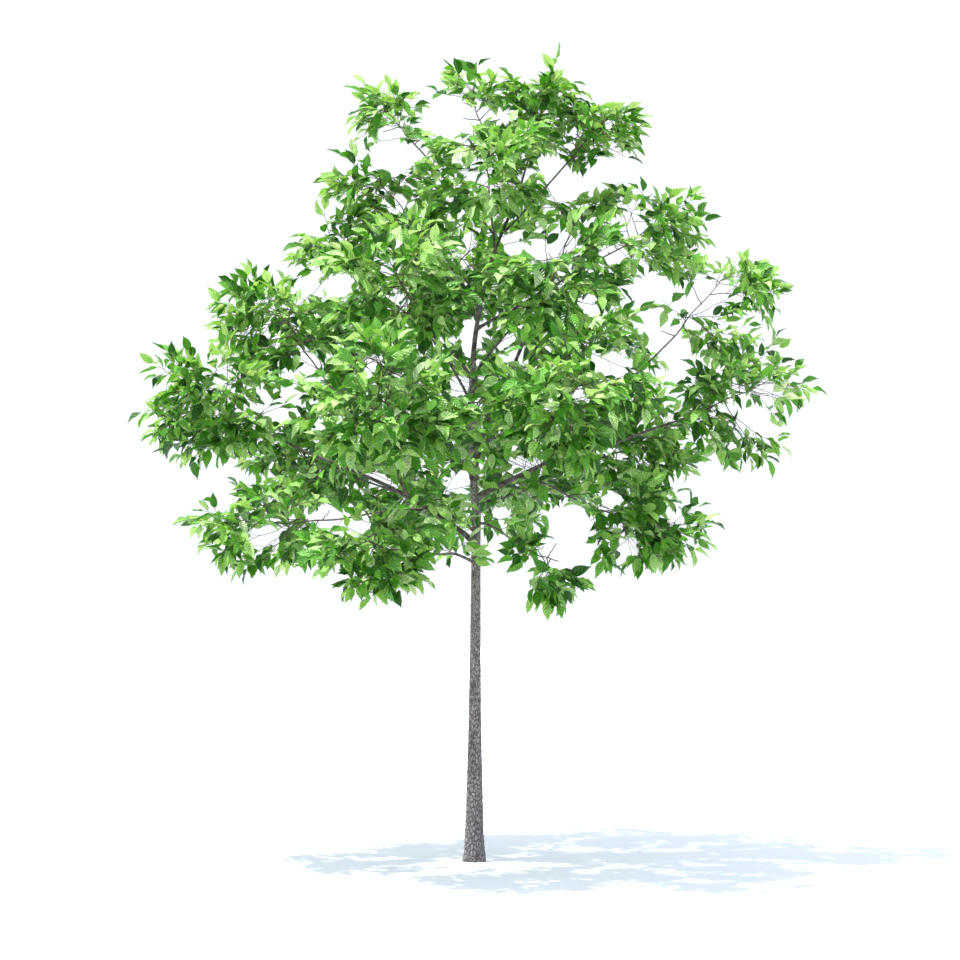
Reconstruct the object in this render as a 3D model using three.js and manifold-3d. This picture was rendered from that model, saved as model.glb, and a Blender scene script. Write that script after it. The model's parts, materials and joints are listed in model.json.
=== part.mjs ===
// Black plum tree: a young broadleaf tree about five metres tall, with a clear straight stem
// and a broad open crown. It is rooted in level ground, so its trunk ends in a flat cut there.
// Millimetres. +Z is up, +X is right and +Y is to the back, as seen from the front.
// The origin is the middle of the flat cut under the trunk.
import * as THREE from 'three';
import { mergeVertices } from 'three/addons/utils/BufferGeometryUtils.js';
import Module from 'manifold-3d';

const wasm = await Module();
wasm.setup();

// Trunk, from the ground to the fork: height of each ring, its lean to the right, its radius
const TRUNK_RINGS = [
  [0, 0, 72],
  [70, 0, 62],
  [180, 0, 58],
  [380, 1, 52],
  [700, 2, 44],
  [1100, 4, 36],
  [1500, 7, 30],
  [1880, 10, 29],
  [2120, 12, 28],
  [2300, -4, 23],
  [2480, -16, 21],
  [2800, -18, 21],
  [3060, -6, 20],
];
const TRUNK_SIDES = 12;
const FLARE_LOBES = 4;            // low ridges round the foot, where the main roots run down
const FLARE_DEPTH = 0.08;         // their depth, as a share of the radius
const FLARE_HEIGHT = 160;         // they fade out over this height

// Boughs
const BOUGH_SIDES = 5;
const BOUGH_STEPS = 4;
const BOUGH_SLENDERNESS = 82;     // length of a bough over its radius where it starts
const BOUGH_TAPER = 0.36;         // radius at its tip over the radius where it starts
const BOUGH_RADII = [7, 19];      // thinnest and thickest start of a bough
const THINNER_THAN_PARENT = 0.8;  // most that a bough's start may be of its parent's radius there
const ENTRY = 0.84;               // a bough ends this far out from the middle of its mass

// Twigs and leaves. Each leaf stands for a spray of the tree's real leaves.
const TWIG_SIDES = 3;
const STEM_RADII = [7.5, 4];      // main stem of a mass, at its foot and its tip
const STEM_STEPS = 2;
const TWIG_RADII = [5.5, 3.5];    // side twigs
const STEM_LIFT = 0.06;           // upward bend of a stem, as a share of its length
const STEM_SPAN = 1.3;            // length of a stem over the way from its foot to the middle
const SIDE_TWIGS = 5;
const TWIG_LENGTHS = [110, 430];  // shortest and longest side twig
const TIP_ROOM = 0.62;            // room left past a side twig, as a share of a leaf's length
const SIDE_TWIG_SHARES = [0.1, 0.92];     // where the first and the last leave the stem
const SIDE_TWIG_OPENING = [104, 44];      // degrees between a side twig and the stem, foot to tip
const OPENING_SPREAD = 16;        // degrees that the opening varies
const SIDE_TWIG_LIFT = [-0.06, 0.14];     // upward bend, as a share of its length
const GOLDEN_TURN = 137.5;        // degrees round the stem from one side twig to the next
const TURN_SPREAD = 40;           // degrees that this turn varies
const PLACE_SPREAD = 0.5;         // how far a twig may start along its share of the stem
const TWIG_SAMPLES = [0.3, 0.5, 0.75, 1]; // where a twig is tested against its space and the boughs
const LEAF_LENGTH = 1.1;          // share of the mean half size of its mass
const LEAF_WIDTH = 0.72;          // share of its length, as the next two
const LEAF_THICKNESS = 0.028;
const LEAF_FOLD = 0.05;           // the two halves are raised this much, as a shallow V
const LEAF_BELLY = 0.42;          // where a leaf is widest, from its root
const LEAF_FOOT = 0.1;            // a leaf nearer its root than this may touch its own twig
const LEAF_ROOT = 1.5;            // the root is sunk this far past the middle of its twig
const LEAF_SIZES = [0.88, 1.12];  // smallest and largest leaf, as shares of the usual one
const SAMPLE_ROWS = 10;           // points over a leaf's outline that are tested against the boughs,
const SAMPLE_COLUMNS = 3;         // and on either side of its middle
const ROOM_USED = 0.97;           // most of the room ahead that a leaf takes
const LEAF_TRIES = [              // turn and size of each try, as shares of the usual ones
  [1, 1],
  [-1, 1],
  [0.6, 0.8],
  [-0.6, 0.8],
];
const LEAF_SHORTEST = 0.5;        // a leaf with less room than this share is left out
const LEAF_DROOP = [-0.1, 0.6];    // downward lean of a leaf, as the slope it adds
const LEAF_ROLL = 1.15;           // most that a leaf turns about its own length, in radians
const LEAVES_PER_MASS = 13;
const LEAVES_ON_TWIG = [          // share of the twig's length, and turn away from it in radians
  [0.97, 0],
  [0.8, 1],
  [0.58, -1],
  [0.36, 1],
];

// Room kept between solids
const GAP = 0.3;                  // between two solids that meet
const SPACE_GAP = 4;              // between a mass and the edge of its own space
const LIMB_GAP = 34;              // between a leaf and the boughs
const TWIG_LIMB_GAP = 8;          // between a twig and the boughs

const SEED = 9241;
const SEED_STEP = 7919;

// Each row is a bough and the mass of leaves at its tip: its name, its parent, where it leaves
// the parent as a share of the parent's length, its slope there in degrees, and then the middle
// and the half sizes of the mass, to the right, to the back and up.
const CROWN = [
  ['top', 'trunk', 1, 90, [430, 40, 4670], [350, 370, 370]],
  ['far_left', 'trunk', 0.63, 44, [-1600, -100, 2790], [530, 520, 500]],
  ['far_right', 'trunk', 0.72, 34, [1680, -60, 2850], [490, 520, 530]],
  ['right', 'far_right', 0.42, 58, [1480, 330, 3490], [560, 540, 510]],
  ['left', 'far_left', 0.36, 62, [-1220, 330, 3370], [530, 540, 450]],
  ['low_left', 'far_left', 0.24, 8, [-1270, -480, 2020], [560, 500, 330]],
  ['low_left_back', 'far_left', 0.4, 15, [-1080, 560, 2480], [580, 500, 380]],
  ['low_right', 'far_right', 0.2, 2, [1010, -420, 2020], [510, 480, 370]],
  ['low_right_back', 'far_right', 0.3, 20, [1030, 600, 2540], [480, 500, 410]],
  ['left_upper', 'trunk', 0.96, 60, [-860, 60, 3740], [350, 430, 350]],
  ['right_shoulder', 'top', 0.14, 28, [1070, -100, 3840], [450, 460, 390]],
  ['left_shoulder', 'top', 0.28, 50, [-530, -160, 4060], [450, 470, 430]],
  ['right_upper', 'trunk', 0.76, 80, [650, 420, 4010], [500, 480, 430]],
  ['upper_left', 'top', 0.56, 48, [-520, -40, 4570], [300, 340, 380]],
  ['upper_right', 'top', 0.6, 40, [760, -60, 4480], [340, 360, 340]],
  ['top_left', 'top', 0.72, 72, [0, 130, 4670], [370, 360, 370]],
  ['front_low_left', 'trunk', 0.59, 22, [-590, -1010, 1890], [460, 490, 370]],
  ['front_low_right', 'trunk', 0.67, 6, [440, -900, 1800], [300, 430, 330]],
  ['front_left', 'trunk', 0.76, 32, [-520, -1380, 2680], [590, 550, 500]],
  ['front_right', 'trunk', 0.8, 30, [560, -1360, 2720], [590, 550, 500]],
  ['front_upper_left', 'trunk', 0.9, 56, [-440, -930, 3420], [530, 510, 470]],
  ['front_upper_right', 'trunk', 0.95, 54, [480, -960, 3480], [530, 510, 470]],
  ['front_top', 'top', 0.5, 50, [70, -600, 4190], [480, 450, 410]],
  ['back_low_left', 'trunk', 0.65, 26, [-430, 1040, 2320], [600, 540, 450]],
  ['back_low_right', 'trunk', 0.7, 22, [460, 1080, 2360], [600, 540, 450]],
  ['back_middle', 'trunk', 0.84, 40, [40, 1560, 2980], [580, 490, 470]],
  ['back_left', 'trunk', 0.88, 45, [-800, 1060, 3250], [600, 540, 490]],
  ['back_right', 'trunk', 0.93, 42, [760, 1120, 3280], [600, 540, 490]],
  ['back_upper', 'top', 0.2, 52, [-140, 880, 3820], [600, 520, 480]],
];

const bark = new THREE.MeshStandardMaterial({ color: '#6f706f', roughness: 0.92, metalness: 0 });
const boughBark = new THREE.MeshStandardMaterial({ color: '#75736f', roughness: 0.88, metalness: 0 });
const foliage = new THREE.MeshStandardMaterial({ color: '#679150', roughness: 0.55, metalness: 0 });

const STEEP = 0.05;               // below this sine to the upright, a direction counts as upright
const UP = new THREE.Vector3(0, 0, 1);
const RIGHT = new THREE.Vector3(1, 0, 0);

function mix(range, share) {
  return THREE.MathUtils.lerp(range[0], range[1], share);
}

// Two directions square to a limb: one level, one as upright as it can be.
function sidesOf(tangent) {
  const level = new THREE.Vector3().crossVectors(UP, tangent);
  if (level.length() < STEEP) level.copy(RIGHT).addScaledVector(tangent, -RIGHT.dot(tangent));
  level.normalize();
  return { level, upright: new THREE.Vector3().crossVectors(tangent, level).normalize() };
}

// Solids

function toSolid(geometry) {
  geometry.deleteAttribute('normal');
  geometry.deleteAttribute('uv');
  const merged = mergeVertices(geometry, 1e-3);
  return new wasm.Manifold(new wasm.Mesh({
    numProp: 3,
    vertProperties: new Float32Array(merged.attributes.position.array),
    triVerts: new Uint32Array(merged.index.array),
  }));
}

function toMesh(name, solid, material) {
  const { vertProperties, triVerts } = solid.getMesh();
  const geometry = new THREE.BufferGeometry();
  geometry.setAttribute('position', new THREE.BufferAttribute(vertProperties, 3));
  geometry.setIndex(new THREE.BufferAttribute(triVerts, 1));
  geometry.computeVertexNormals();
  const mesh = new THREE.Mesh(geometry, material);
  mesh.name = name;
  return mesh;
}

// The largest piece of a solid: a sealed hollow inside it is filled and a loose scrap is dropped.
function largestPiece(solid) {
  const pieces = solid.decompose();
  pieces.sort((a, b) => b.volume() - a.volume());
  return pieces[0];
}

// A straight prism bent along a path. Its radius is worked out from the share of the path's length.
function taperedLimb(path, radiusAt, sides, steps) {
  const outline = new THREE.Shape();
  for (let corner = 0; corner < sides; corner++) {
    const turn = Math.PI / 2 + 2 * Math.PI * corner / sides;
    if (corner === 0) outline.moveTo(Math.cos(turn), Math.sin(turn));
    else outline.lineTo(Math.cos(turn), Math.sin(turn));
  }
  const prism = new THREE.ExtrudeGeometry(outline, { depth: 1, steps, bevelEnabled: false });
  const corners = prism.attributes.position;
  for (let i = 0; i < corners.count; i++) {
    const share = Math.round(corners.getZ(i) * steps) / steps;
    const { level, upright } = sidesOf(path.getTangentAt(share));
    const point = path.getPointAt(share);
    point.addScaledVector(level, corners.getX(i) * radiusAt(share));
    point.addScaledVector(upright, corners.getY(i) * radiusAt(share));
    corners.setXYZ(i, point.x, point.y, point.z);
  }
  return toSolid(prism);
}

// Trunk

function trunkRingAt(share) {
  const height = share * TRUNK_RINGS.at(-1)[0];
  const above = Math.max(1, TRUNK_RINGS.findIndex((ring) => ring[0] >= height));
  const [lowHeight, lowLean, lowRadius] = TRUNK_RINGS[above - 1];
  const [highHeight, highLean, highRadius] = TRUNK_RINGS[above];
  const part = (height - lowHeight) / (highHeight - lowHeight);
  return {
    point: new THREE.Vector3(mix([lowLean, highLean], part), 0, height),
    radius: mix([lowRadius, highRadius], part),
  };
}

// A turned profile whose rings are then leant to the side and ridged at the foot.
function trunkSolid(extra) {
  const foot = TRUNK_RINGS[0][0];
  const fork = TRUNK_RINGS.at(-1)[0];
  const profile = [new THREE.Vector2(0, foot)];
  for (const [height, , radius] of TRUNK_RINGS) profile.push(new THREE.Vector2(radius + extra, height));
  profile.push(new THREE.Vector2(0, fork));
  const turned = new THREE.LatheGeometry(profile, TRUNK_SIDES);
  turned.rotateX(Math.PI / 2);
  const corners = turned.attributes.position;
  for (let i = 0; i < corners.count; i++) {
    const height = corners.getZ(i);
    const turn = Math.atan2(corners.getY(i), corners.getX(i));
    const ridge = 1 + FLARE_DEPTH * Math.cos(FLARE_LOBES * turn) * Math.exp(-height / FLARE_HEIGHT);
    const lean = trunkRingAt(height / fork).point.x;
    corners.setXYZ(i, corners.getX(i) * ridge + lean, corners.getY(i) * ridge, height);
  }
  return toSolid(turned);
}

const trunk = {
  pointAt: (share) => trunkRingAt(share).point,
  radiusAt: (share) => trunkRingAt(share).radius,
  solid: trunkSolid(0),
  grown: trunkSolid(GAP),
};

// Spaces of the masses: an ellipsoid, cut by a flat plane towards each neighbour

// How far a mass's ellipsoid reaches from its middle in a direction.
function ellipsoidReach(mass, direction) {
  return 1 / Math.hypot(direction.x / mass.half[0], direction.y / mass.half[1], direction.z / mass.half[2]);
}

const masses = CROWN.map(([name, parent, at, rise, middle, half]) => ({
  name,
  parent,
  at,
  rise,
  half,
  middle: new THREE.Vector3(...middle),
  leafLength: LEAF_LENGTH * (half[0] + half[1] + half[2]) / 3,
}));
for (const mass of masses) {
  mass.planes = masses.filter((other) => other !== mass).map((other) => {
    const towards = other.middle.clone().sub(mass.middle);
    const apart = towards.length();
    towards.normalize();
    const own = ellipsoidReach(mass, towards);
    const others = ellipsoidReach(other, towards);
    return { towards, limit: apart * own / (own + others) - SPACE_GAP };
  });
}

function isInside(mass, point) {
  const offset = point.clone().sub(mass.middle);
  const share = Math.hypot(offset.x / mass.half[0], offset.y / mass.half[1], offset.z / mass.half[2]);
  return share <= 1 && mass.planes.every(({ towards, limit }) => offset.dot(towards) <= limit);
}

// The way from a point inside a mass's space to the space's edge.
function roomAhead(mass, point, direction) {
  const scale = new THREE.Vector3(1 / mass.half[0], 1 / mass.half[1], 1 / mass.half[2]);
  const offset = point.clone().sub(mass.middle);
  const start = offset.clone().multiply(scale);
  const step = direction.clone().multiply(scale);
  const a = step.dot(step);
  const b = start.dot(step);
  const c = start.dot(start) - 1;
  let room = (-b + Math.sqrt(Math.max(b * b - a * c, 0))) / a;
  for (const { towards, limit } of mass.planes) {
    const speed = direction.dot(towards);
    if (speed > 0) room = Math.min(room, (limit - offset.dot(towards)) / speed);
  }
  return room;
}

// Boughs

// A bough leaves its parent at its own slope and heads for the middle of its mass.
function growBough(mass, parent) {
  const start = parent.pointAt(mass.at);
  if (mass.at === 1) start.addScaledVector(UP, GAP);
  const heading = mass.middle.clone().sub(start).normalize();
  const tip = mass.middle.clone().addScaledVector(heading, -ENTRY * ellipsoidReach(mass, heading));
  const length = start.distanceTo(tip);
  const level = new THREE.Vector3(heading.x, heading.y, 0).normalize();
  const rise = THREE.MathUtils.degToRad(mass.rise);
  const leaving = level.multiplyScalar(Math.cos(rise)).addScaledVector(UP, Math.sin(rise));
  const path = new THREE.CubicBezierCurve3(
    start,
    start.clone().addScaledVector(leaving, length / 3),
    tip.clone().addScaledVector(heading, -length / 3),
    tip,
  );
  const most = parent.radiusAt(mass.at) * THINNER_THAN_PARENT;
  const wanted = THREE.MathUtils.clamp(length / BOUGH_SLENDERNESS, ...BOUGH_RADII);
  const base = Math.min(wanted, most);
  const radiusAt = (share) => base * mix([1, BOUGH_TAPER], share);
  const whole = taperedLimb(path, radiusAt, BOUGH_SIDES, BOUGH_STEPS);
  return {
    pointAt: (share) => path.getPointAt(share),
    radiusAt,
    heading,
    tip,
    solid: mass.at === 1 ? whole : largestPiece(whole.subtract(parent.grown)),
    grown: taperedLimb(path, (share) => radiusAt(share) + GAP, BOUGH_SIDES, BOUGH_STEPS),
  };
}

const boughs = { trunk };
for (const mass of masses) boughs[mass.name] = growBough(mass, boughs[mass.parent]);

// Short straight lengths of every bough and of the trunk, to keep leaves and twigs clear of them
const LIMB_LENGTHS = 24;
const NEAR_LIMB = 600;            // limbs further from a leaf than this can't touch it
const limbLengths = [];
for (const limb of Object.values(boughs)) {
  for (let i = 0; i < LIMB_LENGTHS; i++) {
    limbLengths.push({
      line: new THREE.Line3(limb.pointAt(i / LIMB_LENGTHS), limb.pointAt((i + 1) / LIMB_LENGTHS)),
      radius: limb.radiusAt(i / LIMB_LENGTHS),
    });
  }
}

function isClearOfLimbs(points, gap) {
  const nearest = new THREE.Vector3();
  const middle = points[Math.floor(points.length / 2)];
  const near = limbLengths.filter(({ line }) => line.start.distanceTo(middle) < NEAR_LIMB);
  return points.every((point) => near.every(({ line, radius }) => {
    line.closestPointToPoint(point, true, nearest);
    return nearest.distanceTo(point) >= radius + gap;
  }));
}

// Leaves

// A flat eight-faced blade, pointed at both ends, widest at its belly and folded to a shallow V.
function leafBlade(root, along, face, length) {
  const across = new THREE.Vector3().crossVectors(face, along);
  const turned = new THREE.Matrix4().makeBasis(along, across, face).setPosition(root);
  const blade = new THREE.OctahedronGeometry(1);
  const corners = blade.attributes.position;
  for (let i = 0; i < corners.count; i++) {
    const end = Math.sign(Math.round(corners.getX(i)));
    const side = Math.round(corners.getY(i));
    const skin = Math.round(corners.getZ(i));
    const x = end === 0 ? LEAF_BELLY * length : (end + 1) / 2 * length;
    const y = side * LEAF_WIDTH / 2 * length;
    const z = (skin * LEAF_THICKNESS / 2 + Math.abs(side) * LEAF_FOLD) * length;
    corners.setXYZ(i, x, y, z);
  }
  blade.applyMatrix4(turned);
  return blade;
}

// The flat outline of a leaf beyond its root: two triangles that meet along its middle.
function leafOutline(root, along, face, length) {
  const across = new THREE.Vector3().crossVectors(face, along);
  const foot = root.clone().addScaledVector(along, LEAF_FOOT * length);
  const tip = root.clone().addScaledVector(along, length);
  const belly = root.clone().addScaledVector(along, LEAF_BELLY * length)
    .addScaledVector(face, LEAF_FOLD * length);
  const left = belly.clone().addScaledVector(across, LEAF_WIDTH / 2 * length);
  const right = belly.clone().addScaledVector(across, -LEAF_WIDTH / 2 * length);
  return {
    halves: [[foot, left, tip], [foot, tip, right]],
    edges: [[foot, left], [left, tip], [tip, right], [right, foot], [foot, tip]],
  };
}

function passesThrough([from, to], [a, b, c]) {
  const way = to.clone().sub(from);
  const ray = new THREE.Ray(from, way.clone().normalize());
  const hit = ray.intersectTriangle(a, b, c, false, new THREE.Vector3());
  return hit !== null && hit.distanceTo(from) <= way.length();
}

function leavesCross(one, other) {
  return one.edges.some((edge) => other.halves.some((half) => passesThrough(edge, half)))
    || other.edges.some((edge) => one.halves.some((half) => passesThrough(edge, half)));
}

// Points spread over a leaf, outside its root, to test against the boughs.
function leafSamples(root, along, face, length) {
  const across = new THREE.Vector3().crossVectors(face, along);
  const samples = [];
  for (let row = 1; row <= SAMPLE_ROWS; row++) {
    const share = row / SAMPLE_ROWS;
    const spread = share < LEAF_BELLY ? share / LEAF_BELLY : (1 - share) / (1 - LEAF_BELLY);
    for (let column = -SAMPLE_COLUMNS; column <= SAMPLE_COLUMNS; column++) {
      samples.push(root.clone()
        .addScaledVector(along, share * length)
        .addScaledVector(across, column / SAMPLE_COLUMNS * spread * LEAF_WIDTH / 2 * length));
    }
  }
  return samples;
}

// The direction of a leaf and the way it faces, from where it points before its weight bends it.
function leafPose(pointing, droop, roll) {
  const along = pointing.clone().addScaledVector(UP, -droop).normalize();
  const side = new THREE.Vector3().crossVectors(along, UP);
  if (side.length() < STEEP) side.copy(RIGHT);
  side.normalize();
  const face = new THREE.Vector3().crossVectors(side, along).normalize();
  face.applyAxisAngle(along, roll);
  return { along, face };
}

// Masses

// The same run of numbers every time, from 0 to 1.
function numberStream(seed) {
  let state = seed;
  return () => {
    state = state * 48271 % 2147483647;
    return state / 2147483647;
  };
}

function twigPath(start, direction, length, lift) {
  const end = start.clone().addScaledVector(direction, length).addScaledVector(UP, lift * length);
  return new THREE.QuadraticBezierCurve3(start, start.clone().addScaledVector(direction, length / 2), end);
}

// A stem runs through the mass, and side twigs leave it at golden-angle turns.
function growTwigs(mass, draw) {
  const { tip, heading } = boughs[mass.name];
  const foot = tip.clone().addScaledVector(heading, GAP);
  const stem = twigPath(foot, heading, STEM_SPAN * foot.distanceTo(mass.middle), STEM_LIFT);
  const twigs = [{ path: stem, radii: STEM_RADII, steps: STEM_STEPS }];
  for (let i = 0; i < SIDE_TWIGS; i++) {
    const share = mix(SIDE_TWIG_SHARES, (i + PLACE_SPREAD * draw()) / SIDE_TWIGS);
    const turn = THREE.MathUtils.degToRad(GOLDEN_TURN * i + TURN_SPREAD * draw());
    const opening = THREE.MathUtils.degToRad(mix(SIDE_TWIG_OPENING, share) + OPENING_SPREAD * (draw() - 0.5));
    const lift = mix(SIDE_TWIG_LIFT, draw());
    const tangent = stem.getTangentAt(share);
    const { level, upright } = sidesOf(tangent);
    const direction = tangent.clone().multiplyScalar(Math.cos(opening))
      .addScaledVector(level, Math.sin(opening) * Math.cos(turn))
      .addScaledVector(upright, Math.sin(opening) * Math.sin(turn));
    const start = stem.getPointAt(share);
    const room = roomAhead(mass, start, direction);
    const length = THREE.MathUtils.clamp(room - TIP_ROOM * mass.leafLength, ...TWIG_LENGTHS);
    const path = twigPath(start, direction, length, lift);
    const samples = TWIG_SAMPLES.map((part) => path.getPoint(part));
    if (samples.every((point) => isInside(mass, point)) && isClearOfLimbs(samples, TWIG_LIMB_GAP)) {
      twigs.push({ path, radii: TWIG_RADII, steps: 1 });
    }
  }
  return twigs;
}

// A leaf that leaves the space, touches a limb or crosses another leaf or twig is tried again on
// the other side and then smaller, and is otherwise left out.
function placeLeaf(mass, twigs, twig, leaves, share, turn, draw) {
  const droop = mix(LEAF_DROOP, draw());
  const roll = mix([-LEAF_ROLL, LEAF_ROLL], draw());
  const size = mass.leafLength * mix(LEAF_SIZES, draw());
  for (const [way, scale] of LEAF_TRIES) {
    const tangent = twig.path.getTangentAt(share);
    const { upright } = sidesOf(tangent);
    const { along, face } = leafPose(tangent.applyAxisAngle(upright, turn * way), droop, roll);
    const root = twig.path.getPointAt(share).addScaledVector(along, -LEAF_ROOT);
    const length = Math.min(size * scale, roomAhead(mass, root, along) * ROOM_USED);
    if (length < LEAF_SHORTEST * mass.leafLength) continue;
    const outline = leafOutline(root, along, face, length);
    if (!outline.halves.flat().every((point) => isInside(mass, point))) continue;
    if (!isClearOfLimbs(leafSamples(root, along, face, length), LIMB_GAP)) continue;
    if (leaves.some((leaf) => leavesCross(outline, leaf.outline))) continue;
    const others = twigs.filter((other) => other !== twig);
    if (others.some((other) => twigCrosses(other.path, outline))) continue;
    leaves.push({ outline, solid: toSolid(leafBlade(root, along, face, length)) });
    return;
  }
}

function twigCrosses(path, outline) {
  const points = [0, 0.5, 1].map((share) => path.getPoint(share));
  return outline.halves.some((half) => (
    passesThrough([points[0], points[1]], half) || passesThrough([points[1], points[2]], half)
  ));
}

function growMass(mass, number) {
  const draw = numberStream(SEED + SEED_STEP * number);
  const twigs = growTwigs(mass, draw);
  const leaves = [];
  for (const [share, turn] of LEAVES_ON_TWIG) {
    for (const twig of twigs) {
      if (leaves.length < LEAVES_PER_MASS) placeLeaf(mass, twigs, twig, leaves, share, turn, draw);
    }
  }
  let fused = null;
  for (const { path, radii, steps } of twigs) {
    const solid = taperedLimb(path, (share) => mix(radii, share), TWIG_SIDES, steps);
    fused = fused === null ? solid : fused.add(solid);
  }
  for (const leaf of leaves) fused = fused.add(leaf.solid);
  return largestPiece(fused);
}

const tree = new THREE.Group();
tree.add(toMesh('trunk', trunk.solid, bark));
for (const mass of masses) {
  const name = mass.name === 'top' ? 'leader' : `bough_${mass.name}`;
  tree.add(toMesh(name, boughs[mass.name].solid, boughBark));
}
masses.forEach((mass, number) => {
  tree.add(toMesh(`leaves_${mass.name}`, growMass(mass, number), foliage));
});

export default tree;
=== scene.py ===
"""Black plum tree: a young broadleaf tree about five metres tall, dressed in bark, twigs and leaves.

The limbs and the spaces of the leaf masses repeat the part's own rule, in millimetres. From there the
rule is carried on to finer twigs, each leaf place of the part becoming a spray of real-sized leaves.
Blender's metres are reached by one factor where a mesh is made.
"""
import functools
import json
import math

import bpy
import numpy as np
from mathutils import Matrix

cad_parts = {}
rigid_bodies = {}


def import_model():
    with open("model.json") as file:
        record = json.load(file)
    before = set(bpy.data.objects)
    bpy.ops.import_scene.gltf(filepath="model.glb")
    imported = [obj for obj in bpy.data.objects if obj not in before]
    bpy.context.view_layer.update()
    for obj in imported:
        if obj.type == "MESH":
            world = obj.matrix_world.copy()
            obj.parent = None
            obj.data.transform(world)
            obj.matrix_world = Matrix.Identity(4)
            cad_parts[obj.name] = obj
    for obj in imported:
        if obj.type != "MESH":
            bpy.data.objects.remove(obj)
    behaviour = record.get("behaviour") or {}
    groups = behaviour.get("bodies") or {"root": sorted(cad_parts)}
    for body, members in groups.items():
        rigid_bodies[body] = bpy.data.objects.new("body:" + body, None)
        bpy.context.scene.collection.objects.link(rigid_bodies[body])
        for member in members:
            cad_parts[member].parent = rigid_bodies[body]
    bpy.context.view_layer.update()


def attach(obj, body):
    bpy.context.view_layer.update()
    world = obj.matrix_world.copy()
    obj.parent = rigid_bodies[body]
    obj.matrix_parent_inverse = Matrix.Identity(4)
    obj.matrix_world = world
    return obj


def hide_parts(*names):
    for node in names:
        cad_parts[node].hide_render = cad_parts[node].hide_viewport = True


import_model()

bl_info = {
    "name": "Black plum tree",
    "version": (1, 0, 0),
    "blender": (4, 5, 0),
    "location": "View3D > Sidebar > Plum tree",
    "description": "Dresses the packed tree with bark, twigs and leaves",
    "category": "Add Mesh",
}

MM = 0.001  # metres in a millimetre
UP = np.array([0.0, 0.0, 1.0])
RIGHT = np.array([1.0, 0.0, 0.0])
UPRIGHT = 0.05  # a direction whose level part is shorter than this counts as upright
MULTIPLIER = 48271
MODULUS = 2 ** 31 - 1
TINY = 1e-9

# Limbs, as the part has them: trunk rings are height, lean to the right and radius
TRUNK_RINGS = np.array([
    [0, 0, 72], [70, 0, 62], [180, 0, 58], [380, 1, 52], [700, 2, 44], [1100, 4, 36], [1500, 7, 30],
    [1880, 10, 29], [2120, 12, 28], [2300, -4, 23], [2480, -16, 21], [2800, -18, 21], [3060, -6, 20],
], float)
FLARE_LOBES = 4
FLARE_DEPTH = 0.08
FLARE_HEIGHT = 160
BOUGH_SLENDERNESS = 82
BOUGH_TAPER = 0.36
BOUGH_RADII = (7, 19)
THINNER_THAN_PARENT = 0.8
ENTRY = 0.84

# Twigs and leaf places of a mass, as the part has them
STEM_LIFT = 0.06
STEM_SPAN = 1.3
SIDE_TWIGS = 5
TWIG_LENGTHS = (110, 430)
TIP_ROOM = 0.62
SIDE_TWIG_SHARES = (0.1, 0.92)
SIDE_TWIG_OPENING = (104, 44)
OPENING_SPREAD = 16
SIDE_TWIG_LIFT = (-0.06, 0.14)
GOLDEN_TURN = 137.5
TURN_SPREAD = 40
PLACE_SPREAD = 0.5
TWIG_SAMPLES = np.array([0.3, 0.5, 0.75, 1.0])
PLACE_LENGTH = 1.1  # length of a leaf place over the mean half size of its mass
PLACE_WIDTH = 0.72
PLACE_FOLD = 0.05
PLACE_BELLY = 0.42
PLACE_FOOT = 0.1
PLACE_ROOT = 1.5
PLACE_SIZES = (0.88, 1.12)
PLACE_SHORTEST = 0.5
PLACE_DROOP = (-0.1, 0.6)
PLACE_ROLL = 1.15
PLACES_PER_MASS = 13
PLACES_ON_TWIG = ((0.97, 0), (0.8, 1), (0.58, -1), (0.36, 1))
PLACE_TRIES = ((1, 1), (-1, 1), (0.6, 0.8), (-0.6, 0.8))
ROOM_USED = 0.97
GAP = 0.3
SPACE_GAP = 4
LIMB_GAP = 34
TWIG_LIMB_GAP = 8
SEED = 9241
SEED_STEP = 7919
LIMB_LENGTHS = 24
NEAR_LIMB = 600

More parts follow.
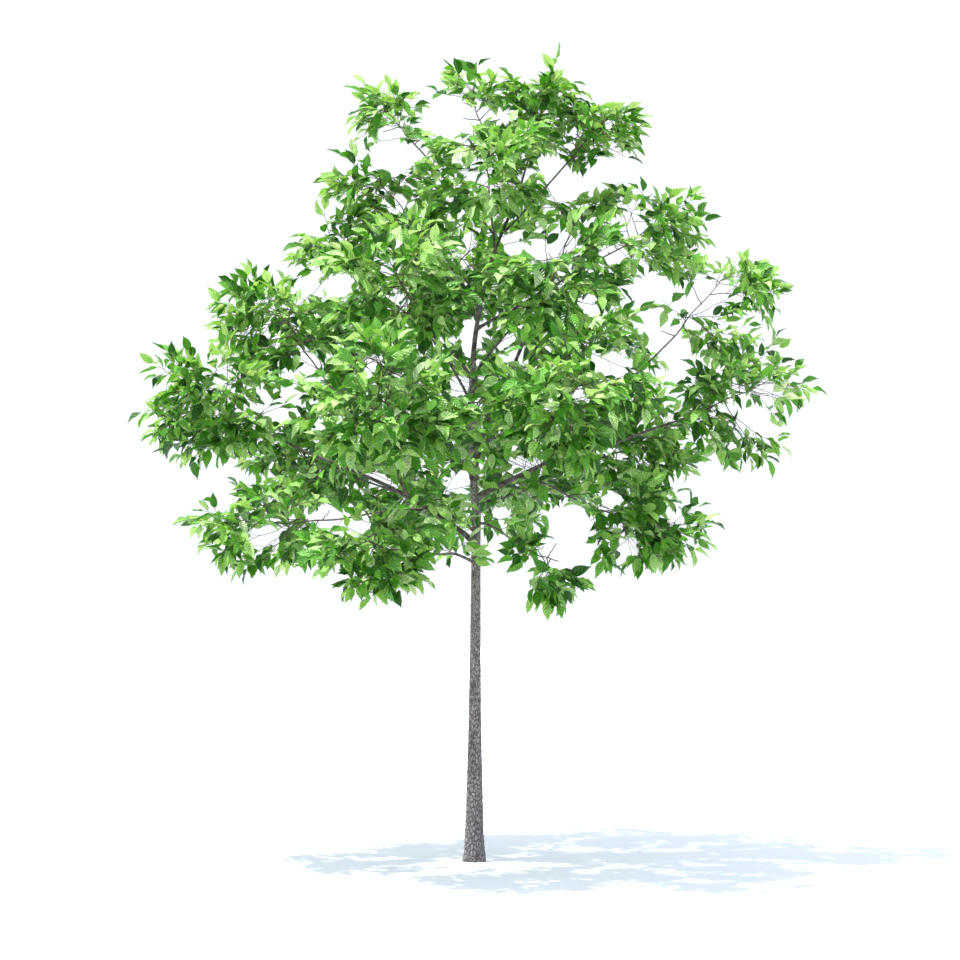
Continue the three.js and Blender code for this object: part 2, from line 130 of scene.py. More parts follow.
# Name, parent, share of the parent's length, slope there in degrees, middle and half sizes of the mass
CROWN = (
    ("top", "trunk", 1, 90, (430, 40, 4670), (350, 370, 370)),
    ("far_left", "trunk", 0.63, 44, (-1600, -100, 2790), (530, 520, 500)),
    ("far_right", "trunk", 0.72, 34, (1680, -60, 2850), (490, 520, 530)),
    ("right", "far_right", 0.42, 58, (1480, 330, 3490), (560, 540, 510)),
    ("left", "far_left", 0.36, 62, (-1220, 330, 3370), (530, 540, 450)),
    ("low_left", "far_left", 0.24, 8, (-1270, -480, 2020), (560, 500, 330)),
    ("low_left_back", "far_left", 0.4, 15, (-1080, 560, 2480), (580, 500, 380)),
    ("low_right", "far_right", 0.2, 2, (1010, -420, 2020), (510, 480, 370)),
    ("low_right_back", "far_right", 0.3, 20, (1030, 600, 2540), (480, 500, 410)),
    ("left_upper", "trunk", 0.96, 60, (-860, 60, 3740), (350, 430, 350)),
    ("right_shoulder", "top", 0.14, 28, (1070, -100, 3840), (450, 460, 390)),
    ("left_shoulder", "top", 0.28, 50, (-530, -160, 4060), (450, 470, 430)),
    ("right_upper", "trunk", 0.76, 80, (650, 420, 4010), (500, 480, 430)),
    ("upper_left", "top", 0.56, 48, (-520, -40, 4570), (300, 340, 380)),
    ("upper_right", "top", 0.6, 40, (760, -60, 4480), (340, 360, 340)),
    ("top_left", "top", 0.72, 72, (0, 130, 4670), (370, 360, 370)),
    ("front_low_left", "trunk", 0.59, 22, (-590, -1010, 1890), (460, 490, 370)),
    ("front_low_right", "trunk", 0.67, 6, (440, -900, 1800), (300, 430, 330)),
    ("front_left", "trunk", 0.76, 32, (-520, -1380, 2680), (590, 550, 500)),
    ("front_right", "trunk", 0.8, 30, (560, -1360, 2720), (590, 550, 500)),
    ("front_upper_left", "trunk", 0.9, 56, (-440, -930, 3420), (530, 510, 470)),
    ("front_upper_right", "trunk", 0.95, 54, (480, -960, 3480), (530, 510, 470)),
    ("front_top", "top", 0.5, 50, (70, -600, 4190), (480, 450, 410)),
    ("back_low_left", "trunk", 0.65, 26, (-430, 1040, 2320), (600, 540, 450)),
    ("back_low_right", "trunk", 0.7, 22, (460, 1080, 2360), (600, 540, 450)),
    ("back_middle", "trunk", 0.84, 40, (40, 1560, 2980), (580, 490, 470)),
    ("back_left", "trunk", 0.88, 45, (-800, 1060, 3250), (600, 540, 490)),
    ("back_right", "trunk", 0.93, 42, (760, 1120, 3280), (600, 540, 490)),
    ("back_upper", "top", 0.2, 52, (-140, 880, 3820), (600, 520, 480)),
)


# Vectors and paths

def unit(vectors):
    """Each vector divided by its own length."""
    return vectors / np.linalg.norm(vectors, axis=-1, keepdims=True)


def mix(ends, share):
    """The first end plus the share of the way to the second."""
    return ends[0] + (ends[1] - ends[0]) * share


def sides_of(tangent):
    """Two directions square to a tangent: level is up cross tangent, upright is tangent cross level."""
    level = np.cross(UP, tangent)
    if np.linalg.norm(level) < UPRIGHT:
        level = RIGHT - tangent * (tangent @ RIGHT)
    level = unit(level)
    return level, unit(np.cross(tangent, level))


def turned(vector, axis, angle):
    """A vector turned about an axis: v cos a + (axis cross v) sin a + axis (axis . v)(1 - cos a)."""
    along = axis * np.sum(axis * vector, axis=-1, keepdims=True)
    return vector * np.cos(angle) + np.cross(axis, vector) * np.sin(angle) + along * (1 - np.cos(angle))


def branch_way(tangent, turn, opening):
    """A way that opens from a tangent by one angle, turned round it by another."""
    level, upright = sides_of(tangent)
    outward = level * math.cos(turn) + upright * math.sin(turn)
    return tangent * math.cos(opening) + outward * math.sin(opening)


class Path:
    """A Bezier curve walked by its own length, which is read from a table of 200 chords."""

    CHORDS = 200
    STEP = 1e-4

    def __init__(self, *corners):
        self.corners = np.array(corners, float)
        self.turns = np.linspace(0, 1, self.CHORDS + 1)
        chords = np.linalg.norm(np.diff(self.at_turn(self.turns), axis=0), axis=1)
        self.reach = np.concatenate([[0], np.cumsum(chords)])
        self.length = self.reach[-1]

    def at_turn(self, turn):
        """Repeated mixing of neighbouring corners by the same share, until one point is left."""
        turn = np.asarray(turn, float)[..., None]
        points = list(self.corners)
        while len(points) > 1:
            points = [a + (b - a) * turn for a, b in zip(points, points[1:])]
        return points[0]

    def turn_at(self, share):
        return np.interp(np.asarray(share) * self.length, self.reach, self.turns)

    def point(self, share):
        return self.at_turn(self.turn_at(share))

    def tangent(self, share):
        turn = self.turn_at(share)
        ahead = self.at_turn(np.clip(turn + self.STEP, 0, 1))
        return unit(ahead - self.at_turn(np.clip(turn - self.STEP, 0, 1)))


def twig_path(start, direction, length, lift):
    """A curve that starts straight and ends lifted by a share of its length."""
    end = start + direction * length + UP * lift * length
    return Path(start, start + direction * length / 2, end)


def number_stream(seed):
    """The part's run of numbers from 0 to 1: each state is 48271 times the last, modulo 2^31 - 1."""
    state = seed
    while True:
        state = state * MULTIPLIER % MODULUS
        yield state / MODULUS


# Limbs and the spaces of the masses

class Trunk:
    """The trunk from the ground to its fork, with straight lines between its rings."""

    height = TRUNK_RINGS[-1, 0]

    def point(self, share):
        height = np.asarray(share) * self.height
        lean = np.interp(height, TRUNK_RINGS[:, 0], TRUNK_RINGS[:, 1])
        return np.stack([lean, np.zeros_like(lean), height], -1)

    def radius(self, share):
        return np.interp(np.asarray(share) * self.height, TRUNK_RINGS[:, 0], TRUNK_RINGS[:, 2])


class Mass:
    """The space of a mass of leaves: an ellipsoid, cut by a flat plane towards each neighbour."""

    def __init__(self, name, parent, at, rise, middle, half):
        self.name = name
        self.parent = parent
        self.at = at
        self.rise = rise
        self.middle = np.array(middle, float)
        self.half = np.array(half, float)
        self.place_length = PLACE_LENGTH * self.half.mean()

    def reach(self, direction):
        """How far the ellipsoid reaches from its middle in a direction."""
        return 1 / np.linalg.norm(direction / self.half)

    def find_planes(self, masses):
        """A plane towards each other mass, where the two ellipsoids share the way in proportion."""
        others = [other for other in masses if other is not self]
        offsets = np.array([other.middle - self.middle for other in others])
        self.towards = unit(offsets)
        own = np.array([self.reach(way) for way in self.towards])
        theirs = np.array([other.reach(way) for other, way in zip(others, self.towards)])
        self.limits = np.linalg.norm(offsets, axis=1) * own / (own + theirs) - SPACE_GAP

    def holds(self, points):
        offsets = points - self.middle
        round_share = np.linalg.norm(offsets / self.half, axis=-1)
        return (round_share <= 1) & np.all(offsets @ self.towards.T <= self.limits, axis=-1)

    def round_room(self, point, direction):
        """The way from a point to the ellipsoid: the greater root of |start + way step|^2 = 1."""
        start = (point - self.middle) / self.half
        step = direction / self.half
        a = step @ step
        b = start @ step
        c = start @ start - 1
        return (-b + math.sqrt(max(b * b - a * c, 0))) / a

    def room(self, point, direction):
        """The way from a point to the edge of the space: the ellipsoid or the nearest plane."""
        room = self.round_room(point, direction)
        speed = self.towards @ direction
        ahead = speed > 0
        ways = (self.limits[ahead] - self.towards[ahead] @ (point - self.middle)) / speed[ahead]
        return min(room, ways.min(initial=room))


class Bough:
    """One tapering limb, which leaves its parent at its own slope and heads for its mass."""

    def __init__(self, mass, parent):
        start = parent.point(mass.at) + (UP * GAP if mass.at == 1 else 0)
        self.heading = unit(mass.middle - start)
        self.tip = mass.middle - self.heading * ENTRY * mass.reach(self.heading)
        length = np.linalg.norm(self.tip - start)
        level = unit(self.heading * [1, 1, 0])
        rise = math.radians(mass.rise)
        leaving = level * math.cos(rise) + UP * math.sin(rise)
        inner = (start + leaving * length / 3, self.tip - self.heading * length / 3)
        self.path = Path(start, *inner, self.tip)
        most = parent.radius(mass.at) * THINNER_THAN_PARENT
        self.base = min(np.clip(length / BOUGH_SLENDERNESS, *BOUGH_RADII), most)
        self.parent_radius = parent.radius(mass.at)

    def point(self, share):
        return self.path.point(share)

    def radius(self, share):
        return self.base * mix((1, BOUGH_TAPER), np.asarray(share))


class Limbs:
    """Short straight lengths of every limb, to keep twigs and leaf places clear of them."""

    def __init__(self, limbs):
        shares = np.linspace(0, 1, LIMB_LENGTHS + 1)
        points = np.array([limb.point(shares) for limb in limbs])
        self.starts = points[:, :-1].reshape(-1, 3)
        self.ways = points[:, 1:].reshape(-1, 3) - self.starts
        self.radii = np.array([limb.radius(shares[:-1]) for limb in limbs]).ravel()

    def clear(self, points, gap):
        """Whether every point is further than a limb's radius plus the gap from its nearest point."""
        middle = points[len(points) // 2]
        near = np.linalg.norm(self.starts - middle, axis=1) < NEAR_LIMB
        ways = self.ways[near]
        offsets = points[:, None] - self.starts[near]
        share = np.clip((offsets * ways).sum(-1) / (ways * ways).sum(-1), 0, 1)
        apart = np.linalg.norm(offsets - ways * share[..., None], axis=-1)
        return bool(np.all(apart >= self.radii[near] + gap))


def crosses(starts, ends, triangles):
    """Whether any straight line passes through any triangle, by the usual three signed volumes."""
    ways = (ends - starts)[:, None]
    one = (triangles[:, 1] - triangles[:, 0])[None]
    two = (triangles[:, 2] - triangles[:, 0])[None]
    normal = np.cross(ways, two)
    size = (one * normal).sum(-1)
    size = np.where(np.abs(size) < TINY, np.inf, size)
    offset = starts[:, None] - triangles[:, 0][None]
    u = (offset * normal).sum(-1) / size
    turned_offset = np.cross(offset, one)
    v = (ways * turned_offset).sum(-1) / size
    way = (two * turned_offset).sum(-1) / size
    return bool(np.any((u >= 0) & (v >= 0) & (u + v <= 1) & (way >= 0) & (way <= 1) & np.isfinite(size)))


class Twig:
    """A stem or side twig of a mass, and the leaf places on it."""

    def __init__(self, path, kind):
        self.path = path
        self.kind = kind
        self.points = path.at_turn(np.array([0, 0.5, 1.0]))


class Place:
    """A leaf place of the part: its twig, where it stands there, its direction, face and length."""

    def __init__(self, twig, share, root, along, face, length):
        self.twig = twig
        self.share = share
        self.root = root
        self.along = along
        self.face = face
        self.across = np.cross(face, along)
        self.length = length
        belly = root + along * PLACE_BELLY * length + face * PLACE_FOLD * length
        half = self.across * PLACE_WIDTH / 2 * length
        foot = root + along * PLACE_FOOT * length
        tip = root + along * length
        left = belly + half
        right = belly - half
        self.halves = np.array([[foot, left, tip], [foot, tip, right]])
        self.starts = np.array([foot, left, tip, right, foot])
        self.ends = np.array([left, tip, right, foot, tip])

    def samples(self):
        """Ten rows of seven points over the outline, which widens to its belly and narrows again."""
        share = np.arange(1, 11)[:, None, None] / 10
        spread = np.where(share < PLACE_BELLY, share / PLACE_BELLY, (1 - share) / (1 - PLACE_BELLY))
        column = np.arange(-3, 4)[None, :, None] / 3
        points = self.root + self.along * share * self.length
        points = points + self.across * column * spread * PLACE_WIDTH / 2 * self.length
        return points.reshape(-1, 3)

    def meets(self, other):
        cuts = crosses(self.starts, self.ends, other.halves)
        return cuts or crosses(other.starts, other.ends, self.halves)


def leaf_pose(pointing, droop, roll):
    """Where a leaf points once its weight bends it, and its face, turned about that by the roll."""
    along = unit(pointing - UP * droop)
    side = np.cross(along, UP)
    side = RIGHT if np.linalg.norm(side) < UPRIGHT else unit(side)
    return along, turned(unit(np.cross(side, along)), along, roll)


def grow_twigs(mass, bough, limbs, draws):
    """A stem through the mass, and side twigs that leave it at golden-angle turns."""
    foot = bough.tip + bough.heading * GAP
    span = STEM_SPAN * np.linalg.norm(foot - mass.middle)
    stem = twig_path(foot, bough.heading, span, STEM_LIFT)
    twigs = [Twig(stem, "stem")]
    for i in range(SIDE_TWIGS):
        share = mix(SIDE_TWIG_SHARES, (i + PLACE_SPREAD * next(draws)) / SIDE_TWIGS)
        turn = math.radians(GOLDEN_TURN * i + TURN_SPREAD * next(draws))
        opening = math.radians(mix(SIDE_TWIG_OPENING, share) + OPENING_SPREAD * (next(draws) - 0.5))
        lift = mix(SIDE_TWIG_LIFT, next(draws))
        direction = branch_way(stem.tangent(share), turn, opening)
        start = stem.point(share)
        room = mass.room(start, direction)
        length = np.clip(room - TIP_ROOM * mass.place_length, *TWIG_LENGTHS)
        path = twig_path(start, direction, length, lift)
        samples = path.at_turn(TWIG_SAMPLES)
        if mass.holds(samples).all() and limbs.clear(samples, TWIG_LIMB_GAP):
            twigs.append(Twig(path, "side"))
    return twigs


def grow_place(mass, twigs, twig, places, share, turn, draws, limbs):
    """The first of four tries that stays in the space and clear of limbs, twigs and other places."""
    droop = mix(PLACE_DROOP, next(draws))
    roll = mix((-PLACE_ROLL, PLACE_ROLL), next(draws))
    size = mass.place_length * mix(PLACE_SIZES, next(draws))
    tangent = twig.path.tangent(share)
    upright = sides_of(tangent)[1]
    for way, scale in PLACE_TRIES:
        along, face = leaf_pose(turned(tangent, upright, turn * way), droop, roll)
        root = twig.path.point(share) - along * PLACE_ROOT
        length = min(size * scale, mass.room(root, along) * ROOM_USED)
        if length < PLACE_SHORTEST * mass.place_length:
            continue
        place = Place(twig, share, root, along, face, length)
        if not mass.holds(place.halves.reshape(-1, 3)).all():
            continue
        if not limbs.clear(place.samples(), LIMB_GAP):
            continue
        if any(place.meets(other) for other in places):
            continue
        others = np.array([other.points for other in twigs if other is not twig])
        if crosses(others[:, :-1].reshape(-1, 3), others[:, 1:].reshape(-1, 3), place.halves):
            continue
        places.append(place)
        return


@functools.cache
def skeleton():
    """The trunk, the boughs, the masses' twigs and their leaf places, all by the part's rule."""
    masses = [Mass(*row) for row in CROWN]
    for mass in masses:
        mass.find_planes(masses)
    boughs = {"trunk": Trunk()}
    for mass in masses:
        boughs[mass.name] = Bough(mass, boughs[mass.parent])
    limbs = Limbs(boughs.values())
    for number, mass in enumerate(masses):
        draws = number_stream(SEED + SEED_STEP * number)
        mass.twigs = grow_twigs(mass, boughs[mass.name], limbs, draws)
        mass.places = []
        for share, turn in PLACES_ON_TWIG:
            for twig in mass.twigs:
                if len(mass.places) < PLACES_PER_MASS:
                    grow_place(mass, mass.twigs, twig, mass.places, share, turn, draws, limbs)
    return masses, boughs


# Finer growth: each leaf place becomes a spray of real leaves

CROWN_MIDDLE = np.array([0, 0, 3000.0])
TWIG_SHAPES = {  # radii at foot and tip, and corners of a cross-section
    "stem": ((5.0, 2.6), 8),
    "side": ((3.6, 2.1), 7),
    "axis": ((2.4, 1.3), 4),
    "shoot": ((1.7, 1.0), 3),
}
TWIG_STATIONS = 20
AXIS_STATIONS = 9
SHOOT_STATIONS = 5
TWIG_CROOK = 0.016  # sideways wander of a twig, as a share of its length
AXIS_CROOK = 0.018
CROOK_WAVES = (1.0, 2.2)  # in a twig's length
FINER_TWIGS = 5  # side twigs of the stem between the part's own
FINER_PLACES = (0.2, 0.8)  # where one stands in its own stretch of the stem
FINER_TURNS = (-0.5, 1.5)
INFILL_ON_TWIG = ((0.93, -0.75), (0.75, 0.85), (0.55, -0.8), (0.35, 0.9), (0.18, -0.9), (0.66, 1.6))
INFILL_ON_FINER = ((0.97, 0), (0.76, 0.85), (0.52, -0.85))
INFILL_PER_MASS = 18
INFILL_SIZES = (0.66, 0.98)
INFILL_SHORTEST = 0.3
INFILL_TURNS = (0.8, 1.3)
INFILL_TILT = 0.6
INFILL_DROOP = (0.0, 0.7)
BOUGH_SHOOT_SPACING = 95  # along a bough, from one leafy shoot to the next
BOUGH_SHOOT_JITTER = 0.4  # of that spacing
BOUGH_SHOOT_LENGTHS = (190, 400)
BOUGH_SHOOT_OPENING = (0.75, 1.25)
BOUGH_SHOOT_TURN = 0.5
BOUGH_SHOOT_DROOP = (-0.2, 0.35)
BOUGH_SHOOT_ROLL = 0.8
BARE_BOUGH = 80  # a bough bears no shoots this near its foot
NEAR_TRUNK = 620  # this near the trunk's line a shoot stands inside the crown anyway
CROWN_FOOT = 1800  # height of the lowest of them
SHOOT_REACH = 1.12  # of a mass's ellipsoid, within which shoots from boughs bear leaves
LEAF_REACH = 1.12  # and within which the tips of its own leaves stay
SPRAY_SEED = 613

# A spray: lengths and places are shares of its leaf place or axis, angles are radians
AXIS_SHORTEST = 0.45
AXIS_BOW = (-0.05, 0.16)
TIP_LEAF_ROOM = 0.75  # of a leaf, kept free beyond the axis
SHOOT_SHARES = (0.2, 0.74)
SHOOT_JITTER = 0.05
SHOOT_OPENING = (0.75, 1.15)
SHOOT_TILT = 0.35
SHOOT_SIZES = (0.75, 1.15)
SHOOT_LIFT = 0.1
SHOOT_BARE = 0.4  # share of a side shoot that bears no leaves
SHOOT_LEAF_SIZE = 0.94  # of its leaves, over those on the axis
WIDEST_SHARE = 0.4  # where along the axis the side shoots are longest

# How leaves stand, in radians and shares, and their tones from 0 to 1
CROWDING = 0.75  # power that draws a shoot's leaves towards its tip
FEWEST_LEAVES = 2  # a shoot with fewer isn't grown
LEAF_SIDE_SCATTER = 1.1
LEAF_OPENING = (1.15, 0.65)  # from a shoot at its foot and at its tip
LEAF_OPENING_SCATTER = 0.25
LAST_LEAF_OPENING = 0.3  # of that, for the leaf that ends a shoot
LEAST_DROOP = -0.3
LOW_DROOP = 1.1  # times a leaf's droop low in the crown
DROOP_LOSS = 0.5  # less at its top
LEAST_BEND = -0.1
FACE_UP = 0.75  # weights of the ways that a blade turns its face
FACE_OUT = 0.45
FACE_SPRAY = 0.3
FACE_SCATTER = 0.42
LEAF_SIZES = (0.74, 1.14)
SIZES_ON_SHOOT = (1.08, 0.84)
STALK_SIZES = (0.7, 1.3)
TONES_FROM = 2000  # height from which leaves are paler, as painted light from above, more even and less drooping
TONES_OVER = 3000  # and the height over which they do
SPRAY_TONES = (0.04, 0.74)
# Painted light from above: how much paler the tones grow towards the top of the crown
HIGH_PAINTED_LIGHT = 0.22
TONE_SPREAD = 0.25
LOW_SPREAD = 1.5
SPREAD_LOSS = 0.5

PHOTO_MIDDLE = 34  # middle of the picture, to the right of the trunk's foot
PHOTO_EYE = np.array([PHOTO_MIDDLE, -14000, 1500.0])

# Openings where the photo shows sky: middle to the right and up, then half width and half height
OPENINGS = np.array([
    [-650, 4860, 75, 90], [-410, 4840, 75, 100], [5, 5030, 90, 60], [255, 4930, 65, 75],
    [640, 4880, 70, 90], [870, 4760, 95, 85], [-800, 4265, 55, 55], [-990, 3900, 60, 60],
    [-500, 4330, 150, 90], [-530, 4460, 80, 50], [-165, 4565, 135, 120], [40, 4590, 40, 45],
    [215, 4575, 35, 40], [470, 4260, 55, 60], [545, 4140, 90, 95], [870, 4250, 140, 65],
    [-25, 4210, 45, 45], [320, 4205, 35, 40], [960, 4010, 60, 55], [1010, 3870, 55, 50],
    [870, 3720, 80, 60], [600, 3790, 85, 75], [430, 3745, 95, 70], [250, 3790, 40, 60],
    [-25, 3810, 40, 50], [-455, 3810, 35, 45], [-820, 3530, 75, 75], [-1000, 3540, 70, 60],
    [1115, 3510, 115, 75], [1430, 3440, 110, 85], [720, 3400, 50, 75], [1100, 3320, 60, 55],
    [1180, 3180, 105, 75], [-30, 3190, 50, 120], [280, 3100, 45, 40], [850, 3025, 110, 70],
    [-610, 3055, 75, 60], [-1030, 3040, 50, 75], [-100, 2910, 65, 60], [1810, 2860, 85, 70],
    [660, 2840, 60, 40], [-1210, 2720, 65, 60], [1740, 2700, 110, 70], [260, 2430, 80, 45],
    [-590, 2310, 95, 60], [-105, 2290, 65, 50], [845, 2185, 70, 50], [-900, 2090, 70, 80],
    [-705, 2040, 80, 60], [155, 2105, 50, 50], [590, 2060, 115, 110], [-1290, 1970, 100, 75],
    [940, 1900, 75, 70], [560, 1870, 150, 100], [210, 1620, 130, 80],
], float)


def opens_to_sky(points):
    """Whether points lie in an opening, carried along the eye's line to the trunk's own plane."""
    offsets = points - PHOTO_EYE
    level = PHOTO_EYE + offsets * (-PHOTO_EYE[1] / offsets[:, 1:2])
    away = (level[:, None, [0, 2]] - OPENINGS[:, :2]) / OPENINGS[:, 2:]
    return np.any((away ** 2).sum(-1) < 1, axis=1)


def crooked(points, amount, rng):
    """Points moved sideways by two slow waves, amount times the length high and nothing at both ends."""
    share = np.linspace(0, 1, len(points))
    length = np.linalg.norm(np.diff(points, axis=0), axis=1).sum()
    level, upright = sides_of(unit(points[-1] - points[0]))
    phases = rng.uniform(0, 2 * np.pi, 2)
    speeds = rng.uniform(*CROOK_WAVES, 2)
    rise = np.sin(np.pi * share) * amount * length
    first = rise * np.sin(2 * np.pi * speeds[0] * share + phases[0])
    second = rise * np.sin(2 * np.pi * speeds[1] * share + phases[1])
    return points + level * first[:, None] + upright * second[:, None]


def along_line(points, shares):
    """Points and directions at shares of a line of evenly spaced points."""
    steps = np.linspace(0, 1, len(points))
    places = np.stack([np.interp(shares, steps, points[:, axis]) for axis in range(3)], -1)
    slopes = np.gradient(points, axis=0)
    ways = np.stack([np.interp(shares, steps, slopes[:, axis]) for axis in range(3)], -1)
    return places, unit(ways)


class Foliage:
    """All the twigs and leaves of the crown, as lists that are joined into arrays at the end."""

    def __init__(self, look):
        self.look = look
        self.lines = {kind: [] for kind in TWIG_SHAPES}
        self.leaves = []

    def add_leaves(self, line, across, face, bare, scale, rng):
        """Leaves stand left and right in turn on the outer part of a shoot, wider open at its foot,
        crowded towards its tip. A stalk leads to each blade, which its weight bends down and which
        turns its face to the sky and outwards. Those that come into an opening are left out, and
        the answer tells whether the shoot keeps enough of them to stand."""
        look = self.look
        length = np.linalg.norm(np.diff(line, axis=0), axis=1).sum()
        count = max(2, round((1 - bare) * length / (look.spacing / MM)) + 1)
        shares = bare + (1 - bare) * np.linspace(0, 1, count) ** CROWDING
        stalks, ways = along_line(line, shares)
        sides = np.where(np.arange(count) % 2 == 0, 0, np.pi)
        sides = sides + rng.uniform(-LEAF_SIDE_SCATTER, LEAF_SIDE_SCATTER, count)
        scatter = rng.uniform(-LEAF_OPENING_SCATTER, LEAF_OPENING_SCATTER, count)
        opening = mix(LEAF_OPENING, shares) + scatter
        opening[-1] *= LAST_LEAF_OPENING
        sideways = across * np.cos(sides)[:, None] + face * np.sin(sides)[:, None]
        pointing = ways * np.cos(opening)[:, None] + sideways * np.sin(opening)[:, None]
        height = np.clip((stalks[:, 2] - TONES_FROM) / TONES_OVER, 0, 1)
        droop = rng.uniform(LEAST_DROOP, look.droop, count) * (LOW_DROOP - DROOP_LOSS * height)
        along = unit(pointing - UP * droop[:, None])
        outward = unit((stalks - CROWN_MIDDLE) * [1, 1, 0.5])
        target = UP * FACE_UP + outward * FACE_OUT + face * FACE_SPRAY
        target = target + rng.normal(0, FACE_SCATTER, (count, 3))
        facing = unit(target - along * (target * along).sum(-1, keepdims=True))
        size = look.length / MM * scale * rng.uniform(*LEAF_SIZES, count) * mix(SIZES_ON_SHOOT, shares)
        stalk = look.stalk / MM * rng.uniform(*STALK_SIZES, count)
        roots = stalks + unit(pointing + along) * stalk[:, None]
        bend = rng.uniform(LEAST_BEND, look.bend, count)
        phase = rng.uniform(0, 1, count)
        # Paler tones higher in the crown: painted light from above
        tone = rng.uniform(*SPRAY_TONES) + HIGH_PAINTED_LIGHT * height
        tone = tone + rng.normal(0, TONE_SPREAD, count) * (LOW_SPREAD - SPREAD_LOSS * height)
        rows = np.column_stack([stalks, roots, along, facing, size, bend, phase, tone])
        reach = along * size[:, None]
        rows = rows[~(opens_to_sky(roots + reach / 2) | opens_to_sky(roots + reach))]
        stands = len(rows) >= FEWEST_LEAVES
        if stands:
            self.leaves.append(rows)
        return stands

    def add_spray(self, start, along, face, length, rng):
        """An axis down the middle of a leaf place, with side shoots left and right in its plane,
        longest below the middle as the place is widest there. None grows into an opening."""
        look = self.look
        across = np.cross(face, along)
        axis_length = max(length - TIP_LEAF_ROOM * (look.length / MM), AXIS_SHORTEST * length)
        path = twig_path(start, along, axis_length, rng.uniform(*AXIS_BOW))
        axis = crooked(path.at_turn(np.linspace(0, 1, AXIS_STATIONS)), AXIS_CROOK, rng)
        if opens_to_sky(axis[[0, -1]]).any():
            return
        if not self.add_leaves(axis, across, face, look.bare_foot, 1.0, rng):
            return
        self.lines["axis"].append(axis)
        count = max(1, round(axis_length / (look.shoot_spacing / MM)))
        shares = np.linspace(*SHOOT_SHARES, count) + rng.uniform(-SHOOT_JITTER, SHOOT_JITTER, count)
        feet, ways = along_line(axis, shares)
        side = rng.choice([-1, 1])
        for share, foot, way in zip(shares, feet, ways):
            opening = rng.uniform(*SHOOT_OPENING)
            tilt = rng.normal(0, SHOOT_TILT)
            outward = across * side * math.cos(tilt) + face * math.sin(tilt)
            way = unit(way * math.cos(opening) + outward * math.sin(opening))
            reach = length * look.shoot_reach * (1 - abs(share - WIDEST_SHARE)) * rng.uniform(*SHOOT_SIZES)
            path = twig_path(foot, way, reach, rng.uniform(-SHOOT_LIFT, SHOOT_LIFT))
            shoot = crooked(path.at_turn(np.linspace(0, 1, SHOOT_STATIONS)), AXIS_CROOK, rng)
            side = -side
            if opens_to_sky(shoot[-1:]).any():
                continue
            if self.add_leaves(shoot, across, face, SHOOT_BARE, SHOOT_LEAF_SIZE, rng):
                self.lines["shoot"].append(shoot)


def finer_twigs(mass, rng):
    """More side twigs by the part's rule, at turns that lie between those of its own, each as long as
    the ellipsoid has room for."""
    stem = mass.twigs[0].path
    twigs = []
    for i in range(FINER_TWIGS):
        share = mix(SIDE_TWIG_SHARES, (i + rng.uniform(*FINER_PLACES)) / FINER_TWIGS)
        turn = math.radians(GOLDEN_TURN * i + 180 + TURN_SPREAD * rng.uniform(*FINER_TURNS))
        opening = math.radians(mix(SIDE_TWIG_OPENING, share) + OPENING_SPREAD * rng.uniform(-1, 1))
        direction = branch_way(stem.tangent(share), turn, opening)
        start = stem.point(share)
        length = np.clip(mass.round_room(start, direction) - TIP_ROOM * mass.place_length, *TWIG_LENGTHS)
        twig = Twig(twig_path(start, direction, length, mix(SIDE_TWIG_LIFT, rng.random())), "side")
        if not opens_to_sky(twig.points[1:]).any():
            twigs.append(twig)
    return twigs


def infill_places(mass, twigs, shares_and_turns, rng):
    """More leaf places by the same rule on the other sides of the twigs, wherever the ellipsoid has
    room. They may cross the flat sides of the space, as the twigs of neighbouring boughs do."""
    places = []
    for share, turn in shares_and_turns:
        for twig in twigs:
            if len(places) == INFILL_PER_MASS:
                return places
            tangent = twig.path.tangent(share)
            level, upright = sides_of(tangent)
            turn_axis = unit(upright + level * rng.normal(0, INFILL_TILT))
            way = turned(tangent, turn_axis, turn * rng.uniform(*INFILL_TURNS))
            along, face = leaf_pose(way, mix(INFILL_DROOP, rng.random()), rng.uniform(-1, 1))
            root = twig.path.point(share)
            wanted = mass.place_length * rng.uniform(*INFILL_SIZES)
            length = min(wanted, mass.round_room(root, along) * ROOM_USED)
            if length > INFILL_SHORTEST * mass.place_length:
                places.append(Place(twig, share, root, along, face, length))
    return places


def bough_shoots(mass, bough, masses, rng):
    """Leafy shoots on a bough from its bare foot to its tip, at golden-angle turns round it. A shoot
    is kept where its own tip lies inside some mass's ellipsoid, or near the trunk within the crown."""
    length = bough.path.length
    shoots = []
    for i, run in enumerate(np.arange(BARE_BOUGH, length, BOUGH_SHOOT_SPACING)):
        shift = rng.uniform(-BOUGH_SHOOT_JITTER, BOUGH_SHOOT_JITTER) * BOUGH_SHOOT_SPACING
        share = min(1, (run + shift) / length)
        turn = math.radians(GOLDEN_TURN * i) + rng.uniform(-BOUGH_SHOOT_TURN, BOUGH_SHOOT_TURN)
        opening = rng.uniform(*BOUGH_SHOOT_OPENING)
        way = unit(branch_way(bough.path.tangent(share), turn, opening))
        droop = rng.uniform(*BOUGH_SHOOT_DROOP)
        along, face = leaf_pose(way, droop, rng.uniform(-BOUGH_SHOOT_ROLL, BOUGH_SHOOT_ROLL))
        reach = rng.uniform(*BOUGH_SHOOT_LENGTHS)
        start = bough.point(share)
        end = start + along * reach
        inner = np.hypot(*end[:2]) < NEAR_TRUNK and end[2] > CROWN_FOOT
        ways_in = [np.linalg.norm((end - other.middle) / other.half) for other in masses]
        if inner or min(ways_in) < SHOOT_REACH:
            shoots.append((start, along, face, reach))
    return shoots


